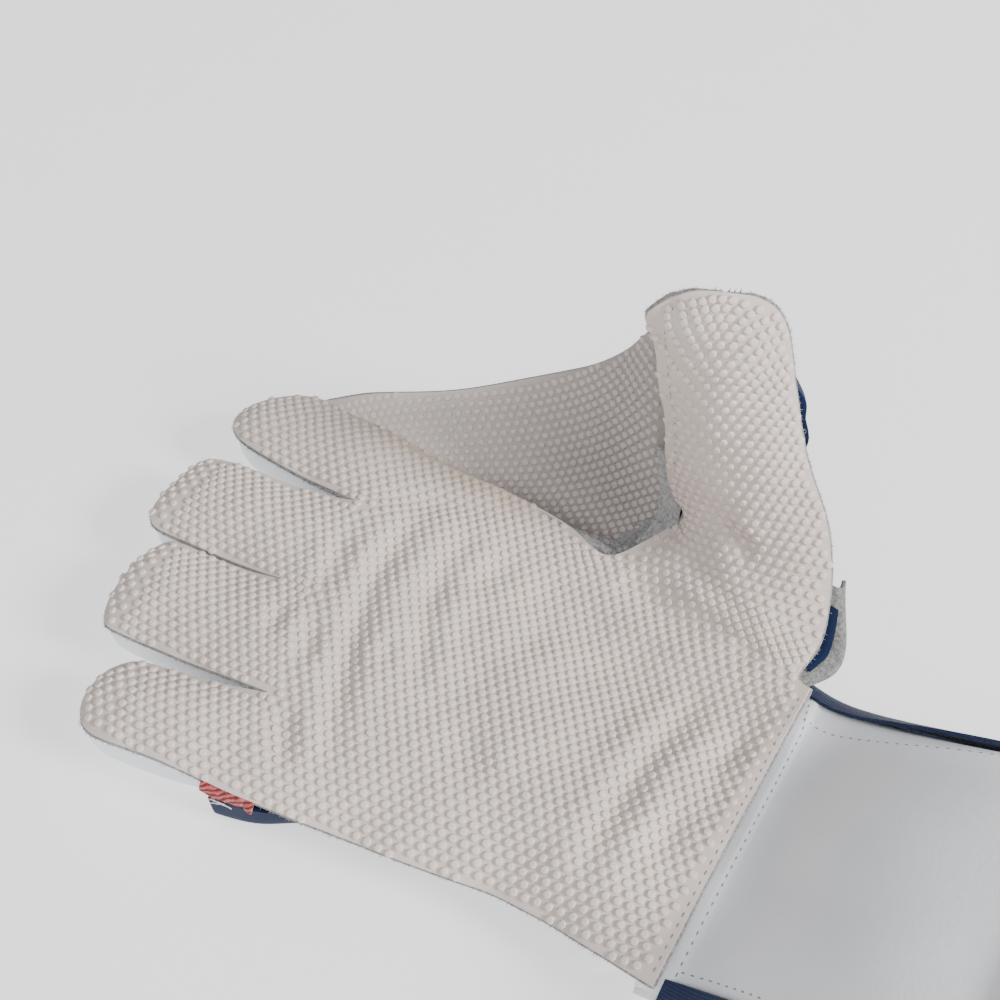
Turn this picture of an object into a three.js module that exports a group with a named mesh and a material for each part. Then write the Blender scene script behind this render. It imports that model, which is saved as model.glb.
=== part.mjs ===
// A wicketkeeping glove for the right hand, lying on its back with the palm up and the thumb standing.
// Millimetres. While it is built, +Y runs from the wrist seam to the fingertips, +X towards the thumb
// and +Z up from the surface that the glove lies on, with the origin at the middle of the wrist seam.
import * as THREE from 'three';

// Palm and fingers
const wristWidth = 99; // palm face across the wrist seam
const knuckleWidth = 133; // palm face across the finger roots
const palmLength = 150; // wrist seam to the root of the index finger
const palmHeight = 30; // palm face above the surface
const fingerLength = 72; // middle finger beyond its root
const fingerCrown = 6; // how much lower a finger's edges are than its middle
const fingerTop = 1.03 * palmHeight;
const fingerDroop = 3; // how much lower a fingertip is than its root
const rootBlend = 0.45; // share of a finger over which its root's shape fades
const tipPower = 2.3; // how squarely a fingertip rounds
const seamSlant = 12; // the thumb end of the wrist seam lies this much further forward
const seamPivot = 1 / 3; // share of the seam where the slant crosses its straight line

// Thumb and web
const thumbHeight = 138; // thumb tip above the surface
const thumbWidth = 58; // thumb face across its root
const thumbDepth = 28; // thumb, face to back
const thumbReach = 82; // thumb's axis out from the glove's middle line
const thumbTipStart = 0.8;
const thumbTipPower = 2.6;
const facePower = 2.2; // how flat the thumb's face is across
const webSlack = 23; // how far the web sags between its three sides
const webGap = 2.3; // between the web and the edge of the palm and the index finger
const webDrop = 0.8; // and this far below it
const webThumbGap = 2.6; // between the web and the thumb's edge
const webThumbDrop = 5; // and this far behind the thumb's face
const webOnPalm = 0.42; // share of the web's index side that lies along the palm's edge
const webThumbStart = 0.07; // shares of the thumb's length between which the web hangs
const webThumbEnd = 0.76;
const webFoot = 0.2; // share of the web's length taken up by the crotch patch
const webSeam = 0.01; // and by the gap at the seam
const webReachPower = 1.5; // how late the web swings out to its free edge
const webSagPower = 0.8; // how soon the sag sets in
const webSagEnd = 1 / 1.05; // share of the web's length where it would end

// Cuff
const cuffLength = 95;
const cuffMouthWidth = 132;
const cuffMouthHeight = 74;
const cuffWall = 2.6;
const cuffTuck = 5; // the cuff reaches this far under the palm face
const cuffRise = 0.3; // share of the cuff over which it rises clear of the palm face
const cuffLift = 0.6; // share of the cuff over which its back rises by the thickness of the binding
const bindingWall = 1.2;
const bindingStop = 0.02; // share of the cuff between the side bindings and the mouth's

// Sheet thicknesses and clearances
const rubber = 2; // pimpled facing with its cotton backing
const leather = 2.2; // padded leather of the backs
const suede = 1.4;
const seamGap = 0.4; // between two pieces that are sewn together
const backRest = 0.6; // lowest face of the back, before it settles on the surface
const underFacing = rubber + seamGap; // a rim lies this far under the face's outer surface
const rimDrop = 1; // the rims of the backs lie this much lower again
const rootDrop = 2; // and this much more at the roots of the fingers
const bindingOut = 3 * seamGap + bindingWall; // the binding's outer face above the cuff's

// Backs
const knuckleLap = 6; // the hand's back laps this far over the fingers' backs
const lapStart = 1.2; // in laps, where a finger's back begins to widen beyond the lap
const lapClear = 5 * seamGap; // room between a finger's back and the lap
const rimInset = 0.7; // a rim lies this far in from the face's edge
const thumbInset = 2; // and this far at the thumb
const thumbBackReach = 0.96; // the thumb's back stops this share of the way to its tip
const edgeOverhang = 4.5; // the palm's little-finger edge stands this far beyond the back
const knuckleBulge = 0.8; // and the knuckle this far beyond the palm's edge
const knuckleStart = 0.8; // share of the palm where the knuckle begins to stand out
const knuckleRun = 0.17; // and over which it does so
const quiltRolls = 5;
const quiltDepth = 0.09; // how far the quilting swells, as a share of the thumb's depth
const flatShare = 0.94; // a trough's bottom is flat where its depth passes this share
const tipDepthPower = 0.8; // how fast a finger's back gets shallow at its tip
const boxiness = 0.55; // below 1, a trough's section is squarer than an ellipse
const rootBoxiness = 0.85; // the same at the root of a finger
const handBoxiness = 0.72; // of the hand's back
const knuckleBoxiness = 0.3; // of the knuckle
const gussetStart = 0.04; // shares of the thumb's length between which the gusset lies
const gussetEnd = 0.24;
const gussetTurn = 0.3; // share of the way round the thumb's back that it covers
const gussetClear = 3 * seamGap; // between the gusset and the thumb's back
const trimWall = 1.2;
const trimClear = 1.5 * seamGap; // between the knuckle band and the hand's back
const trimStart = 0.91; // shares of the palm's length between which the knuckle band lies
const trimEnd = 1.035;
const trimTop = 0.05; // shares of the knuckle's height between which it lies
const trimFoot = 0.36;

// A row for each finger, from the little finger to the index. across is the share of the palm's
// width at the slit on the thumb side, along the slit's place as a share of palmLength. reach and tip
// are the finger's length and its width at the tip, as shares of fingerLength and knuckleWidth. splay
// is in degrees, slant is how far the thumb side of the tip falls back, and round is the share of the
// finger's length where its tip begins to round.
const littleEdgeAlong = 0.835;
const fingers = [
  { name: 'little', across: 0.218, along: 0.873, reach: 0.8, tip: 0.21, splay: 17, slant: 0, round: 0.76 },
  { name: 'ring', across: 0.481, along: 0.987, reach: 0.95, tip: 0.288, splay: 10.8, slant: 0, round: 0.86 },
  { name: 'middle', across: 0.752, along: 1.067, reach: 0.985, tip: 0.265, splay: 10.2, slant: 0,
    round: 0.86 },
  { name: 'index', across: 1, along: 1, reach: 1.02, tip: 0.25, splay: 1.5, slant: 9, round: 0.7 },
];

// A row for each section of the palm, from the wrist seam to the finger roots: how far the little
// finger's side and the thumb's side have widened from the wrist to the knuckles.
const palmOutline = [
  { along: 0, little: -0.06, thumb: 0.1 },
  { along: 0.2, little: 0.0, thumb: 0.2 },
  { along: 0.38, little: 0.16, thumb: 0.5 },
  { along: 0.58, little: 0.62, thumb: 0.75 },
  { along: 0.8, little: 1.12, thumb: 0.72 },
  { along: 1, little: 1.55, thumb: 0.45 },
];
// And the height of the face there as a share of palmHeight, at the little finger's edge, the heel's
// ridge, the middle, the hollow and the thumb's edge.
const palmHeights = [
  { along: 0, edge: 0.76, roll: 0.86, ridge: 0.94, middle: 0.98, hollow: 0.96, far: 1.06 },
  { along: 0.2, edge: 0.64, roll: 0.84, ridge: 1.02, middle: 1.0, hollow: 0.82, far: 0.98 },
  { along: 0.38, edge: 0.58, roll: 0.82, ridge: 1.04, middle: 0.97, hollow: 0.76, far: 0.9 },
  { along: 0.58, edge: 0.58, roll: 0.82, ridge: 1.02, middle: 0.96, hollow: 0.8, far: 0.84 },
  { along: 0.8, edge: 0.62, roll: 0.86, ridge: 1.03, middle: 1.0, hollow: 0.92, far: 0.84 },
  { along: 1, edge: 0.66, roll: 0.9, ridge: 1.03, middle: 1.03, hollow: 1.0, far: 0.86 },
];
// Where those stand across the palm.
const heightKnots = { edge: 0, roll: 0.08, ridge: 0.25, middle: 0.5, hollow: 0.75, far: 1 };

// A row for each section of the thumb, from its root to its tip. out, along and up place the middle of
// the face's chord, as shares of thumbReach, palmLength and thumbHeight; width is a share of thumbWidth,
// bow and depth, how far the face swells and the back lies behind it, of thumbDepth; yaw and pitch turn
// the face, in degrees. taper is 1 where the back's section is round, and more where it narrows.
const thumbSections = [
  { out: 0.72, along: 0.3, up: 0.2, width: 1.2, bow: 0, depth: 0.96, yaw: -9, pitch: 90, taper: 1 },
  { out: 0.87, along: 0.3, up: 0.245, width: 1.12, bow: 0.2, depth: 1.1, yaw: -7, pitch: 62, taper: 1 },
  { out: 0.98, along: 0.33, up: 0.31, width: 1.03, bow: 0.3, depth: 1.12, yaw: 1, pitch: 34, taper: 1.15 },
  { out: 1.015, along: 0.36, up: 0.42, width: 0.97, bow: 0.34, depth: 0.98, yaw: 6, pitch: 12, taper: 1.4 },
  { out: 1.01, along: 0.395, up: 0.54, width: 0.79, bow: 0.33, depth: 0.9, yaw: 13, pitch: 4, taper: 1.45 },
  { out: 0.985, along: 0.42, up: 0.665, width: 0.71, bow: 0.32, depth: 0.82, yaw: 20, pitch: 2, taper: 1.4 },
  { out: 0.955, along: 0.44, up: 0.79, width: 0.67, bow: 0.28, depth: 0.74, yaw: 25, pitch: 3, taper: 1.3 },
  { out: 0.93, along: 0.45, up: 0.91, width: 0.64, bow: 0.2, depth: 0.4, yaw: 29, pitch: 14, taper: 1.2 },
  { out: 0.92, along: 0.455, up: 1, width: 0.6, bow: 0.1, depth: 0.15, yaw: 31, pitch: 40, taper: 1.1 },
];

// A row for each point of the web's free edge, from the index fingertip to the thumb tip, as shares
// of thumbReach, palmLength and thumbHeight.
const webEdge = [
  { out: 0.7, along: 1.385, up: 0.165 },
  { out: 0.78, along: 1.25, up: 0.25 },
  { out: 0.96, along: 1.1, up: 0.27 },
  { out: 1.15, along: 0.96, up: 0.32 },
  { out: 1.22, along: 0.8, up: 0.44 },
  { out: 1.1, along: 0.68, up: 0.64 },
  { out: 0.95, along: 0.6, up: 0.8 },
];

// A row for each section of the cuff, from under the palm face's edge to the open mouth. wide and
// tall are shares of the way from the wrist's section to the mouth's.
const cuffSections = [
  { along: 0, wide: 0, tall: 0 },
  { along: 0.2, wide: -0.2, tall: 0.26 },
  { along: 0.5, wide: 0.2, tall: 0.66 },
  { along: 0.8, wide: 0.7, tall: 0.9 },
  { along: 1, wide: 1, tall: 1 },
];

// Mesh fineness
const palmEasing = 2; // times that the palm face's inner points are evened out
const cellsPerFinger = 4;
const thumbBackRows = 21;
const sideCells = 4; // cells down a side wall of the hand's back, beside the thumb
const palmRows = 15;
const fingerRows = 8;
const fingerTipRows = 4;
const tipRows = 5; // of the thumb
const thumbRows = 13;
const thumbFirstRow = 1; // palm rows between which the thumb grows out of the palm's far edge
const thumbLastRow = 8;
const firstRowAlong = 0.05;
const troughCells = 12;
const gussetCells = 6;
const handCells = 16;
const webCells = 12;
const cuffCells = 32;
const bindingCells = 4;
const littleBindingCell = 12.5; // where the side bindings start, in cells round the cuff
const thumbBindingCell = -2.5;
const patchRows = 3;
const trimCells = 3;
const trimRows = 5;
const cuffShares = [0, 0.07, 0.17, 0.3, 0.46, 0.64, 0.83, 1];

const vec = (x, y, z) => new THREE.Vector3(x, y, z);
const lerp = THREE.MathUtils.lerp;
const radians = THREE.MathUtils.degToRad;
const ease = (t) => THREE.MathUtils.smoothstep(t, 0, 1);
const signedPower = (x, n) => Math.sign(x) * Math.abs(x) ** n;
const range = (n) => Array.from({ length: n }, (_, i) => i);

// A smooth curve through pairs [at, value], as a function.
function smooth(pairs) {
  const slope = pairs.map((p, i) => {
    const a = pairs[Math.max(0, i - 1)];
    const b = pairs[Math.min(pairs.length - 1, i + 1)];
    return (b[1] - a[1]) / (b[0] - a[0]);
  });
  return (t) => {
    let i = pairs.findIndex((p) => p[0] >= t);
    if (i < 1) i = i < 0 ? pairs.length - 1 : 1;
    const [t0, v0] = pairs[i - 1];
    const [t1, v1] = pairs[i];
    const h = t1 - t0;
    const s = THREE.MathUtils.clamp((t - t0) / h, 0, 1);
    const s2 = s * s;
    const s3 = s2 * s;
    return (2 * s3 - 3 * s2 + 1) * v0 + (s3 - 2 * s2 + s) * h * slope[i - 1]
      + (3 * s2 - 2 * s3) * v1 + (s3 - s2) * h * slope[i];
  };
}
const column = (table, name) => smooth(table.map((row, i) => [row.along ?? i, row[name]]));

// A surface of points and quads, with points at the same place welded.
class Surface {
  constructor() {
    this.points = [];
    this.quads = [];
    this.index = new Map();
  }
  add(p) {
    const key = [p.x, p.y, p.z].map((v) => Math.round(v * 1e4)).join(' ');
    if (!this.index.has(key)) this.index.set(key, this.points.push(p.clone()) - 1);
    return this.index.get(key);
  }
  // grid[i][j] are points; i runs across and j along, and the face looks along across × along.
  addGrid(grid) {
    const ids = grid.map((line) => line.map((p) => this.add(p)));
    for (let i = 0; i + 1 < ids.length; i++)
      for (let j = 0; j + 1 < ids[i].length; j++)
        this.quads.push([ids[i][j], ids[i + 1][j], ids[i + 1][j + 1], ids[i][j + 1]]);
    return ids;
  }
  triangles() {
    const found = [];
    for (const [a, b, c, d] of this.quads)
      for (const t of [[a, b, c], [a, c, d]]) if (new Set(t).size === 3) found.push(t);
    return found;
  }
  normals() {
    const sum = this.points.map(() => vec(0, 0, 0));
    for (const [a, b, c] of this.triangles()) {
      const face = this.points[b].clone().sub(this.points[a])
        .cross(this.points[c].clone().sub(this.points[a]));
      for (const k of [a, b, c]) sum[k].add(face);
    }
    return sum.map((n) => n.normalize());
  }
  // Inner points move towards the mean of their neighbours, which rounds off kinks.
  relax(times) {
    const near = this.points.map(() => new Set());
    const uses = new Map();
    for (const q of this.quads)
      q.forEach((a, k) => {
        const b = q[(k + 1) % 4];
        if (a === b) return;
        near[a].add(b);
        near[b].add(a);
        const edge = Math.min(a, b) + ' ' + Math.max(a, b);
        uses.set(edge, (uses.get(edge) ?? 0) + 1);
      });
    const rim = new Set();
    for (const [edge, n] of uses) if (n === 1) edge.split(' ').forEach((k) => rim.add(Number(k)));
    for (let round = 0; round < times; round++) {
      const before = this.points.map((p) => p.clone());
      this.points.forEach((p, k) => {
        if (rim.has(k)) return;
        const mean = vec(0, 0, 0);
        near[k].forEach((n) => mean.add(before[n]));
        p.lerp(mean.divideScalar(near[k].size), 0.5);
      });
    }
  }
  // The closed solid between two offsets from the surface, along its normals.
  solid(lower, upper) {
    const count = this.points.length;
    const normals = this.normals();
    const at = (offset) => this.points.flatMap((p, k) =>
      p.clone().addScaledVector(normals[k], offset).toArray());
    const index = [];
    const open = new Map();
    for (const t of this.triangles()) {
      index.push(...t.map((k) => k + count), t[0], t[2], t[1]);
      t.forEach((a, k) => {
        const b = t[(k + 1) % 3];
        if (open.has(b + ' ' + a)) open.delete(b + ' ' + a);
        else open.set(a + ' ' + b, [a, b]);
      });
    }
    for (const [a, b] of open.values()) index.push(a, b, b + count, a, b + count, a + count);
    const geometry = new THREE.BufferGeometry();
    geometry.setAttribute('position', new THREE.Float32BufferAttribute([...at(lower), ...at(upper)], 3));
    geometry.setIndex(index);
    return geometry;
  }
}

// The palm face

// The seam at the wrist and the line through the finger roots, as distances along the glove.
const seamLine = (u) => seamSlant * (u - seamPivot);
const rootLine = smooth([[0, littleEdgeAlong * palmLength],
  ...fingers.map((f) => [f.across, f.along * palmLength])]);
const widen = { little: column(palmOutline, 'little'), thumb: column(palmOutline, 'thumb') };
const heights = Object.entries(heightKnots).map(([name, at]) => [at, column(palmHeights, name)]);
const sideOut = (side, s) => wristWidth / 2 + widen[side](s) * (knuckleWidth - wristWidth) / 2;
const palmX = (u, s) => lerp(-sideOut('little', s), sideOut('thumb', s), u);
const palmY = (u, s) => lerp(seamLine(u), rootLine(u), s);
const palmZ = (u, s) => palmHeight * smooth(heights.map(([at, height]) => [at, height(s)]))(u);
const palmPoint = (u, s) => vec(palmX(u, s), palmY(u, s), palmZ(u, s));

// How much a tip has rounded in at a share t of its length.
const rounded = (t, start, power) =>
  (t <= start ? 1 : Math.max(0, 1 - ((t - start) / (1 - start)) ** power) ** (1 / power));
// Places along a finger or thumb as shares of its length, closer together where its tip rounds.
const tipShares = (rows, start, endRows) => [
  ...range(rows - endRows + 1).map((k) => start * k / (rows - endRows)),
  ...range(endRows).map((k) => lerp(start, 1, Math.sin(Math.PI / 2 * (k + 1) / endRows)))];
const thumbShares = tipShares(thumbRows, thumbTipStart, tipRows);
// A finger's face at a share t of its length, from w = -1 at the little finger's side to w = 1.
function fingerFace(f) {
  const u0 = fingers.indexOf(f) ? fingers[fingers.indexOf(f) - 1].across : 0;
  const left = palmPoint(u0, 1);
  const right = palmPoint(f.across, 1);
  const axis = vec(-Math.sin(radians(f.splay)), Math.cos(radians(f.splay)), 0);
  const across = vec(axis.y, -axis.x, 0);
  const length = f.reach * fingerLength;
  const shares = tipShares(fingerRows, f.round, fingerTipRows);
  const tipFactor = (t) => rounded(t, f.round, tipPower);
  const tip = left.clone().add(right).multiplyScalar(0.5).addScaledVector(axis, length);
  const half = f.tip * knuckleWidth / 2;
  const tipLeft = tip.clone().addScaledVector(across, -half).addScaledVector(axis, f.slant / 2);
  const tipRight = tip.clone().addScaledVector(across, half).addScaledVector(axis, -f.slant / 2);
  const point = (w, t, inset = 0) => {
    const l = left.clone().lerp(tipLeft, t);
    const r = right.clone().lerp(tipRight, t);
    const shrink = Math.max(0, tipFactor(t) * (1 - 2 * inset / l.distanceTo(r)));
    const p = l.clone().add(r).multiplyScalar(0.5).addScaledVector(r.clone().sub(l), w * shrink / 2);
    const root = palmPoint(lerp(u0, f.across, (w + 1) / 2), 1);
    const fade = 1 - ease(t / rootBlend);
    p.addScaledVector(root.clone().sub(left.clone().lerp(right, (w + 1) / 2)), fade);
    const dome = fingerCrown * (1 - tipFactor(t) ** 2 * (1 - w * w));
    p.z = lerp(fingerTop - dome - fingerDroop * t ** 3, root.z, fade);
    return p;
  };
  return { f, point, length, shares, tipFactor };
}
const thumbAt = Object.fromEntries(Object.keys(thumbSections[0]).map((name) =>
  [name, smooth(thumbSections.map((row, i) => [i / (thumbSections.length - 1), row[name]]))]));

// The thumb's section at a share t of its length: the middle of its chord, across and out of the face.
function thumbFrame(t) {
  const yaw = radians(thumbAt.yaw(t));
  const pitch = radians(thumbAt.pitch(t));
  const round = rounded(t, thumbTipStart, thumbTipPower);
  return {
    middle: vec(thumbAt.out(t) * thumbReach, thumbAt.along(t) * palmLength, thumbAt.up(t) * thumbHeight),
    across: vec(-Math.sin(yaw), Math.cos(yaw), 0),
    face: vec(-Math.cos(yaw) * Math.cos(pitch), -Math.sin(yaw) * Math.cos(pitch), Math.sin(pitch)),
    half: round * thumbAt.width(t) * thumbWidth / 2,
    bulge: round * thumbAt.bow(t) * thumbDepth,
    depth: round * thumbAt.depth(t) * thumbDepth,
    taper: thumbAt.taper(t),
  };
}
const rowShare = (j) => (j ? lerp(firstRowAlong, 1, (j - 1) / (palmRows - 1)) : 0);
const fingerFaces = fingers.map(fingerFace);

function palmFacing() {
  const sheet = new Surface();
  const edges = fingers.map((f) => f.across);
  const columns = [0, ...fingers.flatMap((f, n) =>
    range(cellsPerFinger).map((k) => lerp(n ? edges[n - 1] : 0, edges[n], (k + 1) / cellsPerFinger)))];
  sheet.addGrid(columns.map((u) => range(palmRows + 1).map((j) => palmPoint(u, rowShare(j)))));
  for (const { point, shares } of fingerFaces)
    sheet.addGrid(range(cellsPerFinger + 1).map((i) => {
      const w = 2 * i / cellsPerFinger - 1;
      return shares.map((t) => point(w, t));
    }));
  const across = range(thumbLastRow - thumbFirstRow + 1);
  sheet.addGrid(thumbShares.map((t, k) => across.map((j) => {
    if (k === 0) return palmPoint(1, rowShare(thumbFirstRow + j));
    const w = 2 * j / (across.length - 1) - 1;
    const { middle, across: side, face, half, bulge } = thumbFrame(t);
    const swell = bulge * (1 - Math.abs(w) ** facePower);
    return middle.clone().addScaledVector(side, w * half).addScaledVector(face, swell);
  })));
  sheet.relax(palmEasing);
  return sheet;
}

// The backs: open troughs whose rims lie under the edges of the palm face

function fingerBack({ point, length, shares, tipFactor }) {
  const sheet = new Surface();
  const bottom = backRest + leather + seamGap;
  const last = 1 - rimInset / length;
  sheet.addGrid(range(troughCells + 1).map((i) => {
    const angle = Math.PI * i / troughCells;
    return shares.map((share) => {
      const t = share * last;
      const power = lerp(rootBoxiness, boxiness, ease(t / rootBlend));
      const w = -signedPower(Math.cos(angle), power);
      const tuck = 1 - ease(Math.max(0, t * length / knuckleLap - lapStart));
      const p = point(w, t, rimInset + tuck * (leather + lapClear));
      const drop = rimDrop + rootDrop * (1 - ease(t / rootBlend));
      const rim = point(Math.sign(w) || 1, t).z - underFacing - drop;
      const depth = bowl(angle, power) * tipFactor(share) ** tipDepthPower;
      p.z = lerp(rim, bottom, depth);
      p.y += share === 0 ? seamGap : 0;
      return p;
    });
  }));
  return sheet;
}

// Depth of a trough's section as a share, at an angle from one rim to the other.
const bowl = (angle, power) => Math.min(1, Math.sin(angle) ** power / flatShare);

// The hand's back at a share s of its length, at point i of its section.
const knuckleAt = (s) => ease((s - knuckleStart) / knuckleRun);
const handPower = (s) => lerp(handBoxiness, knuckleBoxiness, knuckleAt(s));
function handPoint(i, s) {
  const angle = Math.PI * i / handCells;
  const power = handPower(s);
  const u = (1 - signedPower(Math.cos(angle), power)) / 2;
  const flare = Math.max(0, s - 1) * palmLength * Math.tan(radians(fingers[0].splay));
  const left = -sideOut('little', s) - flare + lerp(edgeOverhang, -knuckleBulge, knuckleAt(s));
  const right = sideOut('thumb', s) - rimInset;
  const rim = lerp(palmZ(0, s), palmZ(1, s), u) - underFacing - rimDrop;
  return vec(lerp(left, right, u), palmY(u, s), lerp(rim, backRest, bowl(angle, power)));
}
const handFront = 1 + knuckleLap / palmLength;
const handStart = (cuffTuck + 3 * seamGap) / (littleEdgeAlong * palmLength);
const handShares = [...range(palmRows).map((j) => Math.max(rowShare(j), handStart)), 1, handFront];

function handBack() {
  const sheet = new Surface();
  const part = (i0, i1, j0, j1) => sheet.addGrid(range(i1 - i0 + 1).map((i) =>
    range(j1 - j0 + 1).map((j) => handPoint(i0 + i, handShares[j0 + j]))));
  const last = handShares.length - 1;
  part(0, handCells - sideCells, 0, last);
  part(handCells - sideCells, handCells, thumbLastRow, last);
  return sheet;
}

// A point of the thumb's back at a share t of its length; angle goes from its rim on the side of the
// cuff, at 0, round to its other rim.
function thumbBackPoint(t, angle, lift = 0) {
  const { middle, across, face, half, depth, taper } = thumbFrame(t * thumbBackReach);
  const roll = 1 + quiltDepth * (Math.abs(Math.sin(Math.PI * quiltRolls * t / thumbTipStart)) - 0.5);
  const inset = Math.max(0, half - thumbInset);
  const p = middle.clone()
    .addScaledVector(across, -signedPower(Math.cos(angle), taper) * (inset + lift))
    .addScaledVector(face, -underFacing - seamGap)
    .addScaledVector(face, -(Math.sin(angle) ** taper) * (depth * roll + lift));
  p.z = Math.max(p.z, backRest);
  return p;
}

// The thumb's back grows out of the opening in the side of the hand's back.
function thumbBack() {
  const sheet = new Surface();
  const inside = 2 * seamGap;
  const corner = handCells - sideCells;
  const down = range(sideCells).map((k) =>
    handPoint(handCells - k, rowShare(thumbFirstRow)).add(vec(seamGap, inside, 0)));
  const along = range(thumbLastRow - thumbFirstRow + 1).map((k) =>
    handPoint(corner, rowShare(thumbFirstRow + k)).add(vec(seamGap, 0, 0)));
  along[0].y += inside;
  along[along.length - 1].y -= inside;
  const up = range(sideCells).map((k) =>
    handPoint(corner + 1 + k, rowShare(thumbLastRow)).add(vec(seamGap, -inside, 0)));
  const root = [...down, ...along, ...up];
  const cells = root.length - 1;
  const shares = tipShares(thumbBackRows, thumbTipStart, tipRows);
  sheet.addGrid(range(cells + 1).map((i) =>
    shares.map((t, k) => (k ? thumbBackPoint(t, Math.PI * i / cells) : root[i]))));
  return sheet;
}

// The gusset lies over the side of the thumb's root that faces the cuff.
function wristGusset() {
  const sheet = new Surface();
  sheet.addGrid(range(gussetCells + 1).map((i) => range(gussetCells + 1).map((j) =>
    thumbBackPoint(lerp(gussetStart, gussetEnd, i / gussetCells),
      Math.PI * lerp(0, gussetTurn, j / gussetCells), suede + gussetClear))));
  return sheet;
}

// The web and the crotch patch at its foot

const webSide = {
  index: (a) => {
    const s = lerp(rowShare(thumbLastRow) + webSeam, 1, Math.min(1, a / webOnPalm));
    const beyond = Math.max(0, (a - webOnPalm) / (1 - webOnPalm));
    const tip = vec(webEdge[0].out * thumbReach, webEdge[0].along * palmLength, webEdge[0].up * thumbHeight);
    return palmPoint(1, s).add(vec(webGap, 0, -webDrop)).lerp(tip, beyond);
  },
  thumb: (a) => {
    const { middle, across, face, half } = thumbFrame(lerp(webThumbStart, webThumbEnd, a));
    return middle.addScaledVector(across, half + webThumbGap).addScaledVector(face, -webThumbDrop);
  },
};
const webFree = ['out', 'along', 'up'].map((name, k) => smooth(webEdge.map((row, i) =>
  [i / (webEdge.length - 1), row[name] * [thumbReach, palmLength, thumbHeight][k]])));
function webPoint(a, b) {
  const index = webSide.index(a);
  const thumb = webSide.thumb(a);
  const free = vec(...webFree.map((f) => f(b)));
  const ends = vec(...webFree.map((f) => f(0))).lerp(webSide.thumb(1), b);
  const p = index.lerp(thumb, b).addScaledVector(free.sub(ends), a ** webReachPower);
  const sag = webSlack * 4 * b * (1 - b) * Math.sin(Math.PI * Math.min(1, a / webSagEnd)) ** webSagPower;
  p.z = Math.max(p.z - sag, backRest + rubber);
  return p;
}
function webSheet(from, to, rows) {
  const sheet = new Surface();
  sheet.addGrid(range(rows + 1).map((j) =>
    range(webCells + 1).map((i) => webPoint(lerp(from, to, j / rows), i / webCells))));
  return sheet;
}

// The cuff: a flattened tube that flares towards its mouth

const cuffAt = { wide: column(cuffSections, 'wide'), tall: column(cuffSections, 'tall') };
// A point of the cuff's outer face; turn goes once round from the thumb side over the palm.
function cuffPoint(turn, t, offset = 0) {
  const angle = 2 * Math.PI * turn;
  const half = lerp(wristWidth, cuffMouthWidth, cuffAt.wide(t)) / 2 - rimInset + offset;
  const clear = Math.max(0, t - cuffTuck / cuffLength);
  const tall = lerp(palmHeight - underFacing, cuffMouthHeight, cuffAt.tall(clear));
  const x = half * signedPower(Math.cos(angle), boxiness);
  const side = (x / half + 1) / 2;
  const y = seamLine(side) + cuffTuck - (cuffLength + cuffTuck) * t;
  const middle = backRest + bindingOut * Math.min(1, t / cuffLift) + tall / 2;
  const under = (palmZ(side, 0) - underFacing - rimDrop - middle) / (tall / 2);
  const rise = Math.sin(angle) > 0 ? lerp(under, 1, ease(clear / cuffRise)) : 1 / flatShare;
  const lift = Math.max(-1, rise * signedPower(Math.sin(angle), boxiness));
  return vec(x, y, middle + (tall / 2 + offset) * lift);
}
// Cells of the cuff's section are counted from the middle of the thumb side, and rows from the palm.
function cuffSheet(firstCell, lastCell, shares, offset = 0) {
  const sheet = new Surface();
  sheet.addGrid(shares.map((t) => range(lastCell - firstCell + 1).map((i) =>
    cuffPoint((firstCell + i + 0.5) / cuffCells, t, offset))));
  return sheet;
}
// The binding of the mouth lies over the cuff's outside, turns in round its edge and lies inside it.
function mouthBinding() {
  const sheet = new Surface();
  const start = cuffShares[cuffShares.length - 2];
  const beyond = 1 + (2 * seamGap + bindingWall) / cuffLength;
  const outside = bindingOut;
  const inside = -cuffWall - bindingOut;
  const profile = [[start, outside], [1, outside], [beyond, outside],
    [beyond, inside], [1, inside], [start, inside]];
  sheet.addGrid(profile.map(([t, offset]) =>
    range(cuffCells + 1).map((i) => cuffPoint((i % cuffCells + 0.5) / cuffCells, t, offset))));
  return sheet;
}

// The knuckle's coral band lies on the hand's back, under the palm's little-finger edge.
function knuckleTrim() {
  const sheet = new Surface();
  sheet.addGrid(range(trimCells + 1).map((i) => range(trimRows + 1).map((j) => {
    const s = lerp(trimStart, trimEnd, j / trimRows);
    const down = lerp(trimTop, trimFoot, i / trimCells);
    const turn = Math.asin((down * flatShare) ** (1 / handPower(s))) / Math.PI * handCells;
    return handPoint(turn, s).add(vec(-trimClear, 0, 0));
  })));
  return sheet;
}

const glove = new THREE.Group();
function piece(name, geometry, colour, roughness) {
  const material = new THREE.MeshStandardMaterial({ color: colour, roughness, metalness: 0 });
  const mesh = new THREE.Mesh(geometry, material);
  mesh.name = name;
  glove.add(mesh);
  return mesh;
}

piece('palm_facing', palmFacing().solid(-rubber, 0), '#d9cfc8', 0.75);
for (const face of fingerFaces)
  piece(face.f.name + '_back', fingerBack(face).solid(0, leather), '#c9cdd2', 0.5);
piece('hand_back', handBack().solid(0, leather), '#1c2a4a', 0.6);
piece('thumb_back', thumbBack().solid(-leather, 0), '#1c2a4a', 0.6);
piece('web', webSheet(webFoot + webSeam, 1, webCells).solid(0, rubber), '#b9b0ad', 0.75);
piece('crotch_patch', webSheet(0, webFoot, patchRows).solid(0, suede), '#8b8c8e', 0.9);
piece('knuckle_trim', knuckleTrim().solid(-trimWall, 0), '#d9604f', 0.7);
piece('wrist_gusset', wristGusset().solid(0, suede), '#8b8c8e', 0.9);
const halfTurn = cuffCells / 2;
piece('cuff_palm', cuffSheet(0, halfTurn - 1, cuffShares).solid(0, cuffWall), '#c9cfd6', 0.45);
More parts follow.
